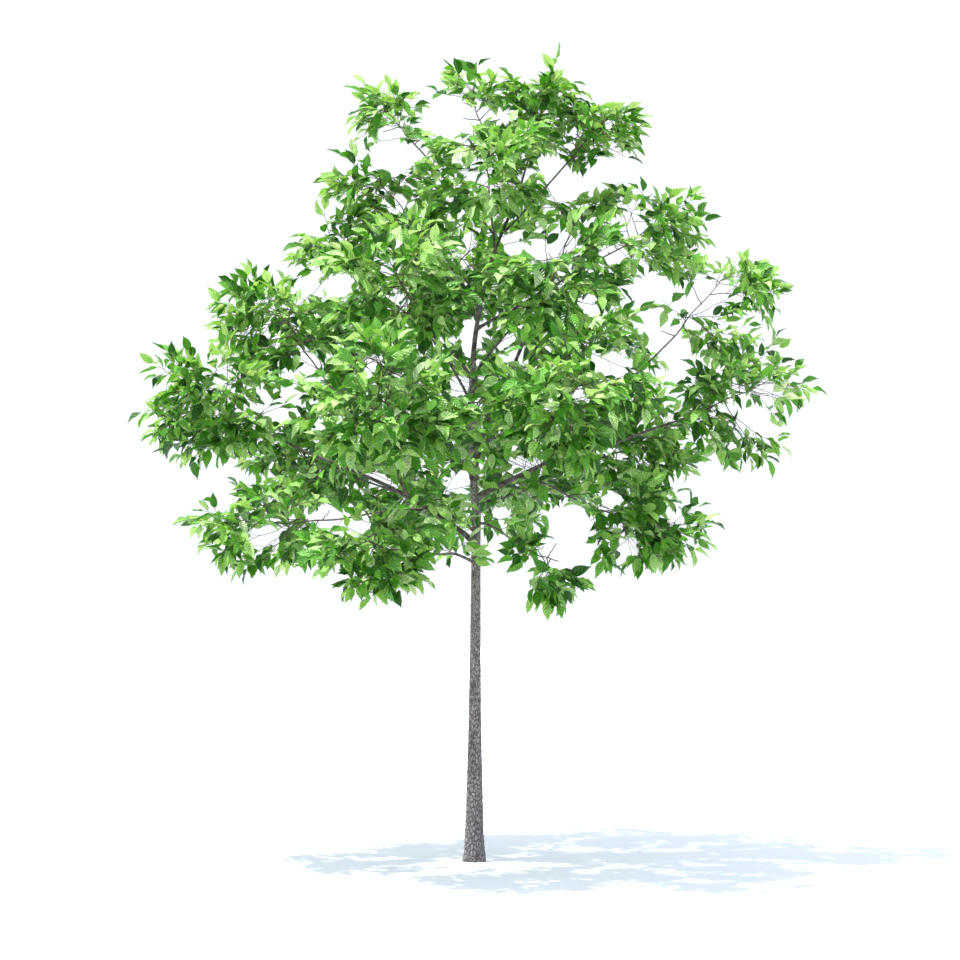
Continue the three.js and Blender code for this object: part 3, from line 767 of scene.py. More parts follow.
@functools.cache
def foliage():
    """Every twig, spray, shoot and leaf. A mass's own leaves are left out where their tips would pass
    LEAF_REACH of its ellipsoid."""
    whole = Foliage(bpy.context.scene.plum_leaves)
    masses, boughs = skeleton()
    for number, mass in enumerate(masses):
        rng = np.random.default_rng([SPRAY_SEED, number])
        before = len(whole.leaves)
        finer = finer_twigs(mass, rng)
        for twig in mass.twigs + finer:
            twig.line = crooked(twig.path.point(np.linspace(0, 1, TWIG_STATIONS)), TWIG_CROOK, rng)
            whole.lines[twig.kind].append(twig.line)
        places = mass.places + infill_places(mass, mass.twigs, INFILL_ON_TWIG, rng)
        places += infill_places(mass, finer, INFILL_ON_FINER, rng)
        for place in places:
            start = along_line(place.twig.line, np.array([place.share]))[0][0]
            whole.add_spray(start, place.along, place.face, place.length, rng)
        rows = np.concatenate(whole.leaves[before:])
        tips = rows[:, 3:6] + rows[:, 6:9] * rows[:, 12:13]
        inside = np.linalg.norm((tips - mass.middle) / mass.half, axis=1) <= LEAF_REACH
        whole.leaves[before:] = [rows[inside]]
        for shoot in bough_shoots(mass, boughs[mass.name], masses, rng):
            whole.add_spray(*shoot, rng)
    return whole


# Meshes

def put_mesh(name, points, faces, uv=None, attributes=None):
    """A piece from points in millimetres and arrays of faces, one row of corners to a face."""
    corners = np.concatenate([rows.ravel() for rows in faces])
    totals = np.concatenate([np.full(len(rows), rows.shape[1]) for rows in faces])
    mesh = bpy.data.meshes.new(name)
    mesh.vertices.add(len(points))
    mesh.vertices.foreach_set("co", (points * MM).astype(np.float32).ravel())
    mesh.loops.add(len(corners))
    mesh.loops.foreach_set("vertex_index", corners.astype(np.int32))
    mesh.polygons.add(len(totals))
    mesh.polygons.foreach_set("loop_start", (np.cumsum(totals) - totals).astype(np.int32))
    mesh.polygons.foreach_set("use_smooth", np.ones(len(totals), bool))
    if uv is not None:
        layer = mesh.uv_layers.new(name="blade")
        layer.data.foreach_set("uv", uv[corners].astype(np.float32).ravel())
    for label, values in (attributes or {}).items():
        attribute = mesh.attributes.new(label, "FLOAT", "POINT")
        attribute.data.foreach_set("value", values.astype(np.float32).ravel())
    mesh.update(calc_edges=True)
    if mesh.validate():
        raise RuntimeError(f"{name} has faces that don't hold")
    piece = bpy.data.objects.new(name, mesh)
    bpy.context.collection.objects.link(piece)
    return piece


def walls(index):
    """Faces between neighbouring rings of corners, where each ring meets itself."""
    after = np.roll(index, -1, axis=-1)
    corners = [index[..., :-1, :], after[..., :-1, :], after[..., 1:, :], index[..., 1:, :]]
    return np.stack(corners, -1).reshape(-1, 4)


def tubes(points, radii, sides):
    """Closed tubes along lines of points (tube, station, axis), with radii (tube, station) or one for
    each corner. A corner is the point plus the radius times first cos a + second sin a, where first is
    carried from station to station without twist and second is the direction cross first."""
    count, stations = points.shape[:2]
    ways = unit(np.gradient(points, axis=1))
    first = np.empty_like(points)
    side = np.cross(UP, ways[:, 0])
    side[np.linalg.norm(side, axis=1) < UPRIGHT] = RIGHT
    for i in range(stations):
        side = unit(side - ways[:, i] * (side * ways[:, i]).sum(-1, keepdims=True))
        first[:, i] = side
    second = np.cross(ways, first)
    angles = 2 * np.pi * np.arange(sides) / sides
    ring = first[:, :, None] * np.cos(angles)[:, None] + second[:, :, None] * np.sin(angles)[:, None]
    radii = np.broadcast_to(radii if radii.ndim == 3 else radii[..., None], (count, stations, sides))
    corners = points[:, :, None] + ring * radii[..., None]
    index = np.arange(count * stations * sides).reshape(count, stations, sides)
    ends = np.concatenate([index[:, 0, ::-1], index[:, -1]])
    return corners.reshape(-1, 3), [walls(index), ends]


def joined(shapes):
    """Several shapes of points and faces as one, each face's corners counted on from the last shape."""
    points = []
    faces = []
    count = 0
    for shape_points, shape_faces in shapes:
        points.append(shape_points)
        faces += [rows + count for rows in shape_faces]
        count += len(shape_points)
    return np.concatenate(points), faces


def limb_noise(around, height, cells, tall, seed):
    """Smooth noise from -0.5 to 0.5: random heights on a lattice with so many cells round the limb, each
    so tall, mixed by 3t^2 - 2t^3 both ways. It meets itself after one turn."""
    up = height / tall
    across = around * cells
    rows = int(np.max(up)) + 2
    table = np.random.default_rng([SPRAY_SEED, seed]).random((rows, cells))
    low_up = np.floor(up).astype(int)
    low_across = np.floor(across).astype(int)
    t = up - low_up
    s = across - low_across
    t = t * t * (3 - 2 * t)
    s = s * s * (3 - 2 * s)
    left = low_across % cells
    right = (low_across + 1) % cells
    lower = mix((table[low_up, left], table[low_up, right]), s)
    upper = mix((table[low_up + 1, left], table[low_up + 1, right]), s)
    return mix((lower, upper), t) - 0.5


# Trunk

TRUNK_COLUMNS = 128
TRUNK_ROW = 4.5  # height of a row of the bark mesh
SMOOTHED_ROWS = 29  # over which the corners of the rings' line are rounded
GIRTH = 290  # way round the trunk at which the plates below have their size
PLATE = (13, 34, 1.0)  # width, height and share of the crack's depth at the foot
CHIP = (8, 16, 0.6)  # the smaller chips on a plate
PLATE_WANDER = 0.7  # of a plate's width
PLATE_SEED = 20
CRACK_WIDTH = 0.4  # of a plate's size
CRACK_DEPTHS = ((0, 5.0), (700, 3.9), (1600, 2.8), (2400, 1.7), (3060, 1.0))
SWELL = 2.4  # height of the low swellings, each so many cells and so tall
SWELL_CELLS = 4
SWELL_HEIGHT = 130
SWELL_SEED = 9
GRAIN = 6  # size of the grain on a plate
GRAIN_DEPTH = 0.45  # of the crack's
GRAIN_MARK = 0.5  # how much of it the colour shows
GRAIN_SEED = 11
TRUNK_TOP = 46  # the trunk narrows into the leader over this height
TOP_NARROWING = 0.35


def plate_edges(across, up, cells_round, seed):
    """How far each place lies from the edge of its plate. Every cell of a lattice holds one random
    point; the answer is the way to the second nearest point less the way to the nearest."""
    rows = int(np.max(up)) + 3
    table = np.random.default_rng([SPRAY_SEED, seed]).random((rows, cells_round, 2))
    low_up = np.floor(up).astype(int)
    low_across = np.floor(across).astype(int)
    nearest = np.full(across.shape, np.inf)
    second = nearest.copy()
    for rise in (-1, 0, 1):
        for turn in (-1, 0, 1):
            point = table[low_up + rise + 1, (low_across + turn) % cells_round]
            aside = low_across + turn + point[..., 0] - across
            away = np.hypot(aside, low_up + rise + point[..., 1] - up)
            second = np.minimum(second, np.maximum(nearest, away))
            nearest = np.minimum(nearest, away)
    return second - nearest


def trunk_bark():
    """The trunk's radius by height and turn: the rings' radius, times low ridges at the foot, less the
    cracks between plates, which lie where a place is near its plate's edge."""
    heights = np.linspace(0, Trunk.height, round(Trunk.height / TRUNK_ROW) + 1)
    turns = np.linspace(0, 2 * np.pi, TRUNK_COLUMNS, endpoint=False)
    height, turn = np.meshgrid(heights, turns, indexing="ij")
    kernel = np.hanning(SMOOTHED_ROWS)
    kernel /= kernel.sum()
    smoothed = []
    for column in (1, 2):
        line = np.interp(heights, TRUNK_RINGS[:, 0], TRUNK_RINGS[:, column])
        line = np.pad(line, SMOOTHED_ROWS // 2, mode="edge")
        smoothed.append(np.convolve(line, kernel, "valid")[:, None])
    lean, radius = smoothed
    ridge = 1 + FLARE_DEPTH * np.cos(FLARE_LOBES * turn) * np.exp(-height / FLARE_HEIGHT)
    around = turn / (2 * np.pi)
    crack = np.zeros_like(height)
    for number, (width, tall, share) in enumerate((PLATE, CHIP)):
        cells = round(GIRTH / width)
        wander = PLATE_WANDER * limb_noise(around, height, cells, tall, PLATE_SEED + number)
        edge = plate_edges((around * cells + wander) % cells, height / tall, cells, number)
        crack = np.maximum(crack, share * (1 - np.clip(edge / CRACK_WIDTH, 0, 1)))
    swell = limb_noise(around, height, SWELL_CELLS, SWELL_HEIGHT, SWELL_SEED)
    grain = limb_noise(around, height, round(GIRTH / GRAIN), GRAIN, GRAIN_SEED)
    depth = np.interp(height, *np.array(CRACK_DEPTHS, float).T)
    radius = radius * ridge + SWELL * swell - depth * crack + GRAIN_DEPTH * depth * grain
    narrowing = np.clip((height - Trunk.height + TRUNK_TOP) / TRUNK_TOP, 0, 1)
    radius = radius * (1 - TOP_NARROWING * narrowing ** 2)
    corners = np.stack([radius * np.cos(turn) + lean, radius * np.sin(turn), height], -1)
    index = np.arange(height.size).reshape(height.shape)
    faces = [walls(index), index[:1, ::-1], index[-1:]]
    # Colour marks: painted shade down in the cracks, plus the grain's own tone
    shade_and_grain_marks = np.clip(crack + GRAIN_MARK * grain, 0, 1)
    return put_mesh("trunk_bark", corners.reshape(-1, 3), faces, attributes={"crack": shade_and_grain_marks})


# Boughs

BOUGH_STATIONS = 96
BOUGH_CORNERS = 14
BOUGH_CROOK = 0.006
BOUGH_TIP_LEAST = 5.2  # radius at the tip, where a mass's stem grows on
COLLAR = 0.55  # a bough is this much thicker where it leaves its parent
COLLAR_LENGTH = 1.7  # the collar fades over this many of the bough's own radii
LEADER_COLLAR = (0.12, 40)  # the leader's, and the height over which it fades
KNOTS = (5, 34, 200)  # cells round a bough, height of one and first seed
KNOT_HEIGHT = 0.16  # of the bough's radius
FINE_RELIEF = (7, 12, 300)
FINE_HEIGHT = 0.1
BOUGH_SEED = 100


def bough_bark():
    """Each bough's radius runs from its base to its tip in a straight line, plus a collar that fades
    as exp(-distance), plus knots and fine relief from noise."""
    masses, boughs = skeleton()
    shares = np.linspace(0, 1, BOUGH_STATIONS)
    angles = np.arange(BOUGH_CORNERS) / BOUGH_CORNERS
    shapes = []
    shade_and_grain_marks = []
    for number, mass in enumerate(masses):
        bough = boughs[mass.name]
        rng = np.random.default_rng([SPRAY_SEED, BOUGH_SEED + number])
        line = crooked(bough.point(shares), BOUGH_CROOK, rng)
        radius = mix((bough.base, max(bough.base * BOUGH_TAPER, BOUGH_TIP_LEAST)), shares)
        run = shares * bough.path.length
        collar = COLLAR * np.exp(-np.maximum(run - bough.parent_radius, 0) / (COLLAR_LENGTH * radius[0]))
        if mass.at == 1:
            collar = LEADER_COLLAR[0] * np.exp(-run / LEADER_COLLAR[1])
        around, height = np.meshgrid(angles, run)
        knots, fine = (
            limb_noise(around, height, cells, tall, seed + number)
            for cells, tall, seed in (KNOTS, FINE_RELIEF)
        )
        radii = radius[:, None] * (1 + collar[:, None] + KNOT_HEIGHT * knots + FINE_HEIGHT * fine)
        shapes.append(tubes(line[None], radii[None], BOUGH_CORNERS))
        # Darker colour in the hollows of the fine relief: painted shade
        shade_and_grain_marks.append((0.5 - fine).ravel())
    points, faces = joined(shapes)
    return put_mesh("bough_bark", points, faces, attributes={"crack": np.concatenate(shade_and_grain_marks)})


def twig_piece(name, *kinds):
    """All twigs of some kinds as tubes, whose radii run straight from foot to tip."""
    shapes = []
    for kind in kinds:
        lines = np.array(foliage().lines[kind])
        ends, corners = TWIG_SHAPES[kind]
        radii = np.broadcast_to(mix(ends, np.linspace(0, 1, lines.shape[1])), lines.shape[:2])
        shapes.append(tubes(lines, radii, corners))
    return put_mesh(name, *joined(shapes))


# Leaves

BLADE_ROWS = np.array([0, 0.1, 0.22, 0.36, 0.52, 0.68, 0.85, 1])
BLADE_COLUMNS = np.array([-1, 0, 1])
BLADE_BELLY = 0.72  # power that sets the widest place nearer the stalk
BLADE_POINT = 0.8  # how much more the sides draw in towards the tip
EDGE_WAVE = 0.16  # of the half width
EDGE_WAVES = 1.7  # in a blade's length
BEND_GROWTH = 1.5  # power by which a blade's slope grows
RIB_ROWS = [0, 6]
RIB_TAPER = np.array([0.9, 1, 0.45])  # thickness at the twig, the blade's root and its tip
TONES = ("deep", "forest", "leaf", "fresh", "bright", "pale")
TONE_EDGES = (0.14, 0.32, 0.54, 0.79, 0.98)  # where one tone gives way to the next, from 0 to 1


def leaf_frames(rows):
    """The blade's middle line in each leaf's own plane: its slope grows as the share to the 1.5, and the
    line is the running sum of cos and -sin of the slope."""
    bend = rows[:, 13:14]
    middles = (BLADE_ROWS[1:] + BLADE_ROWS[:-1]) / 2
    slopes = bend * middles ** BEND_GROWTH
    steps = np.diff(BLADE_ROWS)
    zero = np.zeros((len(rows), 1))
    ahead = np.hstack([zero, np.cumsum(np.cos(slopes) * steps, axis=1)])
    down = np.hstack([zero, -np.cumsum(np.sin(slopes) * steps, axis=1)])
    return ahead, down, bend * BLADE_ROWS ** BEND_GROWTH


def blades(rows, width, fold):
    """An egg-shaped blade drawn out to a point: half its width is sin(pi v^0.72) to a power that grows
    towards the tip. Its halves rise from the midrib by the fold and its edge waves gently."""
    root, along, face = rows[:, 3:6], rows[:, 6:9], rows[:, 9:12]
    size, phase = rows[:, 12], rows[:, 14:15]
    across = np.cross(face, along)
    ahead, down, slope = leaf_frames(rows)
    inner = slice(1, -1)
    v = BLADE_ROWS[inner]
    half = width / 2 * np.sin(np.pi * v ** BLADE_BELLY) ** (1 + BLADE_POINT * v ** 3)
    u = BLADE_COLUMNS
    out = (half[:, None] * u)[None] * math.cos(fold)
    wave = EDGE_WAVE * np.sin(2 * np.pi * (EDGE_WAVES * v + phase))[..., None] * (u * np.abs(u))
    lift = (half[:, None] * np.abs(u))[None] * math.sin(fold) + half[:, None] * wave
    x = ahead[:, inner, None] + lift * np.sin(slope[:, inner, None])
    z = down[:, inner, None] + lift * np.cos(slope[:, inner, None])
    local = np.stack([x, np.broadcast_to(out, x.shape), z], -1).reshape(len(rows), -1, 3)
    tip = np.stack([ahead[:, -1], 0 * size, down[:, -1]], -1)[:, None]
    local = np.concatenate([np.zeros_like(tip), local, tip], 1) * size[:, None, None]
    points = root[:, None] + local @ np.stack([along, across, face], 1)
    wide, high = len(u), len(v)
    grid = 1 + np.arange(high * wide).reshape(high, wide)
    last = high * wide + 1
    quads = np.stack([grid[:-1, :-1], grid[1:, :-1], grid[1:, 1:], grid[:-1, 1:]], -1).reshape(-1, 4)
    foot = np.stack([0 * grid[0, 1:], grid[0, :-1], grid[0, 1:]], -1)
    end = np.stack([0 * grid[0, 1:] + last, grid[-1, 1:], grid[-1, :-1]], -1)
    offsets = (np.arange(len(rows)) * (last + 1))[:, None, None]
    faces = [(part + offsets).reshape(-1, part.shape[1]) for part in (quads, foot, end)]
    sideways = 0.5 + 0.5 * (half[:, None] * u) / (width / 2)
    flat = np.stack([sideways, v[:, None] + 0 * u], -1).reshape(-1, 2)
    uv = np.tile(np.vstack([[0.5, 0], flat, [0.5, 1]]), (len(rows), 1))
    return points.reshape(-1, 3), faces, uv


def ribs(rows, thickness):
    """A stalk that runs on as the midrib: a three-sided tube from the twig along the blade's middle."""
    ahead, down, _ = leaf_frames(rows)
    size = rows[:, 12][:, None, None]
    along, face = rows[:, None, 6:9], rows[:, None, 9:12]
    spine = along * ahead[:, RIB_ROWS, None] + face * down[:, RIB_ROWS, None]
    points = np.concatenate([rows[:, None, 0:3], rows[:, None, 3:6] + size * spine], 1)
    return tubes(points, np.broadcast_to(thickness * RIB_TAPER, points.shape[:2]), 3)


def leaf_rows():
    """All leaves as rows, and the number of each one's tone. A tone past 0 or 1 is mirrored back."""
    rows = np.concatenate(foliage().leaves)
    tone = np.abs(rows[:, 15]) % 2
    tone = np.where(tone > 1, 2 - tone, tone)
    return rows, np.searchsorted(TONE_EDGES, tone)


# Materials

STREAK_STRETCH = 0.5  # the bark's noise is drawn out to twice its width upwards
PATCH = 90  # size of the paler patches on bark
FOOT_TINT_TOP = 1.3  # metres up to which the foot's tint fades
CRACK_SHADE = 0.4  # of the dark bark, in cracks and hollows: painted shade over their own darker bark
CORK_DOT = 16
DOT_HEIGHT = 0.6
LEAF_BLOTCH = 32
VEIN_PAIRS = 6
VEIN_SLANT = 0.55  # how far a vein runs up the blade for each half width
VEIN_DEPTH = 2.2
TISSUE_SHADES = (0.66, 1.36)  # of the leaf's colour in its darkest and palest places; painted shade in vein valleys
TRANSLUCENCE = 0.25
RIB_SHADE = 0.8  # of the midrib's colour, between its paler dots
GLOW = (1.5, 1.4, 0.8)  # of the leaf's colour, in the light that comes through
FLOOR_SHADE = 0.99
FLOOR_CLOUDS = 1.5  # to a metre

# Where a pattern starts to show and where it shows in full, and how much of it shows at each
STREAKS_SHOW = {"From Min": 0.34, "From Max": 0.66}
FOOT_SHOWS = {"From Max": FOOT_TINT_TOP, "To Min": 1.0, "To Max": 0.0}
PATCHES_SHOW = {"From Min": 0.55, "From Max": 0.75, "To Max": 0.25}
CRACK_SHADE_SHOWS = {"From Min": 0.15, "From Max": 0.75, "To Max": 0.92}
DOTS_SHOW = {"From Min": 0.38, "From Max": 0.72}
BLOTCHES_SHOW = {"From Min": 0.3, "From Max": 0.7}
# Vein stripes: paler on the ridges, and painted shade in the valleys
VEIN_COLOUR_AND_SHADE_SHOWS = {"From Min": -1.0, "To Min": -0.5, "To Max": 0.5}


def srgb(code):
    """A hex colour as linear values: v / 12.92 up to 0.04045, and ((v + 0.055) / 1.055)^2.4 above it."""
    values = [int(code[i:i + 2], 16) / 255 for i in (1, 3, 5)]
    return [v / 12.92 if v <= 0.04045 else ((v + 0.055) / 1.055) ** 2.4 for v in values]


def add(tree, kind, inputs=None, **settings):
    """Adds a node. Settings are its own values; inputs are its sockets, each given a value or a link."""
    node = tree.nodes.new(kind)
    for name, value in settings.items():
        setattr(node, name, value)
    for name, value in (inputs or {}).items():
        if isinstance(value, bpy.types.NodeSocket):
            tree.links.new(value, node.inputs[name])
        else:
            node.inputs[name].default_value = value
    return node


def material(name):
    """An empty material, its node tree and its object coordinates."""
    made = bpy.data.materials.new(name)
    made.use_nodes = True
    made.node_tree.nodes.clear()
    return made, made.node_tree, add(made.node_tree, "ShaderNodeTexCoord").outputs["Object"]


def opaque(values):
    """A colour held to 1, with full alpha."""
    return (*(min(1, v) for v in values), 1)


def bark_material(name, dark, light, foot, grain, depth):
    """Grey bark of a young plum tree: dry cork plates, matt, with dull dark cracks between them and paler
    weathered faces. The cracks' darkness is partly their own bark and partly painted shade, and the
    boughs' hollows are darkened with painted shade. The eye reads fine upright streaks, and a bluer,
    darker foot."""
    made, tree, place = material(name)
    drawn = add(tree, "ShaderNodeMapping", {"Vector": place, "Scale": (1, 1, STREAK_STRETCH)})
    streaks = add(tree, "ShaderNodeTexNoise", {
        "Vector": drawn.outputs["Vector"],
        "Scale": 1 / grain,
        "Detail": 6.0,
        "Roughness": 0.62,
        "Distortion": 0.4,
    }).outputs["Fac"]
    patches = add(tree, "ShaderNodeTexNoise", {
        "Vector": place, "Scale": 1 / (PATCH * MM), "Detail": 3.0, "Roughness": 0.55,
    }).outputs["Fac"]
    crack = add(tree, "ShaderNodeAttribute", attribute_name="crack").outputs["Fac"]
    height = add(tree, "ShaderNodeSeparateXYZ", {"Vector": place}).outputs["Z"]
    colour = opaque(dark)
    layers = (
        (streaks, STREAKS_SHOW, light, "MIX"),
        (height, FOOT_SHOWS, foot, "MULTIPLY"),
        (patches, PATCHES_SHOW, light, "MIX"),
        # Painted shade in the cracks and hollows, over the cracks' own darker bark
        (crack, CRACK_SHADE_SHOWS, [v * CRACK_SHADE for v in dark], "MIX"),
    )
    for value, shows, over, way in layers:
        share = add(tree, "ShaderNodeMapRange", {"Value": value, **shows}).outputs["Result"]
        inputs = {"Factor": share, 6: colour, 7: opaque(over)}
        colour = add(tree, "ShaderNodeMix", inputs, data_type="RGBA", blend_type=way).outputs[2]
    bump = add(tree, "ShaderNodeBump", {"Height": streaks, "Distance": depth * MM, "Strength": 0.8})
    shader = add(tree, "ShaderNodeBsdfPrincipled", {
        "Base Color": colour,
        "Normal": bump.outputs["Normal"],
        "Roughness": 0.9,
        "IOR": 1.45,
        "Specular IOR Level": 0.3,
    })
    add(tree, "ShaderNodeOutputMaterial", {"Surface": shader.outputs["BSDF"]})
    return made


def twig_material(name, dark, light):
    """Smooth young twig bark: thin and darker than the trunk's, brown-grey with small paler corky dots,
    with a faint sheen that breaks its outline against the sky. In pale green it is the skin of leaf
    stalks and midribs, where the dots read as a soft unevenness."""
    made, tree, place = material(name)
    dots = add(tree, "ShaderNodeTexNoise", {
        "Vector": place, "Scale": 1 / (CORK_DOT * MM), "Detail": 4.0, "Roughness": 0.6,
    }).outputs["Fac"]
    share = add(tree, "ShaderNodeMapRange", {"Value": dots, **DOTS_SHOW}).outputs["Result"]
    inputs = {"Factor": share, 6: opaque(dark), 7: opaque(light)}
    colour = add(tree, "ShaderNodeMix", inputs, data_type="RGBA").outputs[2]
    bump = add(tree, "ShaderNodeBump", {"Height": dots, "Distance": DOT_HEIGHT * MM, "Strength": 0.5})
    shader = add(tree, "ShaderNodeBsdfPrincipled", {
        "Base Color": colour,
        "Normal": bump.outputs["Normal"],
        "Roughness": 0.7,
        "IOR": 1.45,
        "Specular IOR Level": 0.35,
    })
    add(tree, "ShaderNodeOutputMaterial", {"Surface": shader.outputs["BSDF"]})
    return made


def leaf_material(name, colour):
    """Living leaf: a waxy skin over green tissue. The skin gives soft broad highlights, and light from
    behind comes through warmer and yellower than the light that the face throws back. Six pairs of
    side veins crease it, paler on their ridges and darker in their valleys with painted shade, and the
    eye reads them as fine stripes."""
    made, tree, place = material(name)
    blotch = add(tree, "ShaderNodeTexNoise", {
        "Vector": place, "Scale": 1 / (LEAF_BLOTCH * MM), "Detail": 2.0, "Roughness": 0.5,
    }).outputs["Fac"]
    blade = add(tree, "ShaderNodeUVMap", uv_map="blade").outputs["UV"]
    parts = add(tree, "ShaderNodeSeparateXYZ", {"Vector": blade}).outputs
    crease = parts["X"]
    steps = (
        ("SUBTRACT", {1: 0.5}),
        ("ABSOLUTE", {}),
        ("MULTIPLY_ADD", {1: -VEIN_SLANT, 2: parts["Y"]}),
        ("MULTIPLY", {1: VEIN_PAIRS * 2 * math.pi}),
        ("COSINE", {}),
    )
    for operation, others in steps:
        crease = add(tree, "ShaderNodeMath", {0: crease, **others}, operation=operation).outputs[0]
    # The stripes darken the tissue in the vein valleys as painted shade; the ridges show the veins' paler
    # colour
    blotches, stripes = (
        add(tree, "ShaderNodeMapRange", {"Value": value, **shows}).outputs["Result"]
        for value, shows in ((blotch, BLOTCHES_SHOW), (crease, VEIN_COLOUR_AND_SHADE_SHOWS))
    )
    mottle = add(tree, "ShaderNodeMath", {0: blotches, 1: stripes}, operation="ADD").outputs[0]
    shaded, lit = (opaque(v * share for v in colour) for share in TISSUE_SHADES)
    tissue = add(tree, "ShaderNodeMix", {"Factor": mottle, 6: shaded, 7: lit}, data_type="RGBA")
    bump = add(tree, "ShaderNodeBump", {"Height": crease, "Distance": VEIN_DEPTH * MM, "Strength": 0.9})
    skin = add(tree, "ShaderNodeBsdfPrincipled", {
        "Base Color": tissue.outputs[2],
        "Normal": bump.outputs["Normal"],
        "Roughness": 0.36,
        "IOR": 1.42,
        "Specular IOR Level": 0.6,
    })
    glow = opaque(v * share for v, share in zip(colour, GLOW))
    through = add(tree, "ShaderNodeBsdfTranslucent", {"Color": glow})
    inputs = {0: TRANSLUCENCE, 1: skin.outputs["BSDF"], 2: through.outputs["BSDF"]}
    both = add(tree, "ShaderNodeMixShader", inputs)
    add(tree, "ShaderNodeOutputMaterial", {"Surface": both.outputs["Shader"]})
    return made


def floor_material(name, colour):
    """Plain matt studio floor, barely blue, which keeps the tree's soft shadow pale and cool."""
    made, tree, place = material(name)
    cloud = add(tree, "ShaderNodeTexNoise", {"Vector": place, "Scale": FLOOR_CLOUDS, "Detail": 2.0})
    darker = opaque(v * FLOOR_SHADE for v in colour)
    inputs = {"Factor": cloud.outputs["Fac"], 6: darker, 7: opaque(colour)}
    shader = add(tree, "ShaderNodeBsdfPrincipled", {
        "Base Color": add(tree, "ShaderNodeMix", inputs, data_type="RGBA").outputs[2],
        "Roughness": 0.95,
        "Specular IOR Level": 0.1,
    })
    add(tree, "ShaderNodeOutputMaterial", {"Surface": shader.outputs["BSDF"]})
    return made


# Sizes and colours that a user would change

def size_of(name, description, default):
    return bpy.props.FloatProperty(
        name=name, description=description, default=default * MM, min=0, precision=4,
        subtype="DISTANCE", unit="LENGTH",
    )


def angle_of(name, description, degrees):
    return bpy.props.FloatProperty(
        name=name, description=description, default=math.radians(degrees), subtype="ANGLE", unit="ROTATION",
    )


def colour_of(name, description, code):
    return bpy.props.FloatVectorProperty(
        name=name, description=description, default=srgb(code), min=0, max=1, size=3, subtype="COLOR",
    )


def share_of(name, description, default):
    return bpy.props.FloatProperty(
        name=name, description=description, default=default, min=0, subtype="FACTOR",
    )


class PlumBark(bpy.types.PropertyGroup):
    """Bark of the trunk, the boughs and the twigs."""

    plate: size_of("Plate", "Width of a bark plate's grain on the trunk", 13)
    grain: size_of("Grain", "Width of the grain on the boughs", 5)
    dark: colour_of("Dark bark", "Shaded grain of the trunk's bark", "#7c7371")
    light: colour_of("Light bark", "Weathered faces of the trunk's bark", "#d8cecb")
    foot: colour_of("Foot bark", "Tint of the bluer bark near the ground", "#c3cdd9")
    bough_dark: colour_of("Dark bough", "Shaded grain of the boughs' bark", "#665d59")
    bough_light: colour_of("Light bough", "Paler faces of the boughs' bark", "#948b86")
    twig_dark: colour_of("Dark twig", "Bark of the young twigs", "#3d352f")
    twig_light: colour_of("Light twig", "Corky dots on the young twigs", "#75695c")


class PlumLeaves(bpy.types.PropertyGroup):
    """Sizes of the leaves and how they stand, and the colours dealt out to them."""

    length: size_of("Leaf length", "Length of a full-grown blade", 136)
    width: share_of("Leaf width", "Width of a blade over its length", 0.5)
    fold: angle_of("Fold", "How far each half rises from the midrib", 25)
    stalk: size_of("Stalk", "Length of a leaf stalk", 15)
    rib: size_of("Midrib", "Thickness of the stalk and midrib", 1.5)
    spacing: size_of("Leaf spacing", "Way along a shoot from leaf to leaf", 37)
    shoot_spacing: size_of("Shoot spacing", "Way along a spray's axis from side shoot to side shoot", 105)
    shoot_reach: share_of("Shoot reach", "Length of a side shoot over that of its spray", 0.3)
    bare_foot: share_of("Bare foot", "Share of a spray's axis that bears no leaves", 0.3)
    droop: share_of("Droop", "Most that a leaf's weight adds to its slope", 0.6)
    bend: angle_of("Bend", "Most that a blade curves down from its root to its tip", 48)
    deep: colour_of("Deep", "Old shaded leaves", "#215805")
    forest: colour_of("Forest", "Dark full-grown leaves", "#3a7b11")
    leaf: colour_of("Leaf", "Full-grown leaves", "#60a039")
    fresh: colour_of("Fresh", "Leaves in full light", "#8bbf60")
    bright: colour_of("Bright", "Young leaves", "#a8d188")
    pale: colour_of("Pale", "The few leaves that turn their pale side out", "#bfd9ab")
    midrib: colour_of("Midrib colour", "Stalks and midribs", "#9dbb6e")


class PlumStage(bpy.types.PropertyGroup):
    """Floor, light and camera."""

    floor: colour_of("Floor", "Plain pale floor", "#eff5ff")
    sky: colour_of("Sky", "Even studio light all round", "#f3f8ff")
    sun: share_of("Sun", "Strength of the soft light from above", 7.4)
    sun_colour: colour_of("Sun colour", "Slightly warm light from above", "#fffbf3")
    distance: size_of("Camera distance", "From the tree to the camera", -PHOTO_EYE[1])
    eye_height: size_of("Camera height", "Height of the camera above the ground", PHOTO_EYE[2])
    aim_height: size_of("Aim height", "Height on the trunk's line that the camera looks at", 2322)


# Operators

BODY = "root"
MASS_NODES = [f"leaves_{row[0]}" for row in CROWN]
BOUGH_NODES = ["leader"] + [f"bough_{row[0]}" for row in CROWN[1:]]


def finish(piece, surface, nodes):
    """Gives a piece its material, its body and the nodes that it stands for."""
    piece.data.materials.append(surface)
    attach(piece, BODY)
    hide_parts(*nodes)


class PLUM_OT_trunk(bpy.types.Operator):
    """Makes the trunk's cracked bark from the ground to the fork"""

    bl_idname = "plum.trunk"
    bl_label = "Trunk bark"

    def execute(self, context):
        bark = context.scene.plum_bark
        surface = bark_material(
            "cracked_grey_bark", bark.dark, bark.light, bark.foot, bark.plate, depth=2.5,
        )
        finish(trunk_bark(), surface, ["trunk"])
        return {"FINISHED"}


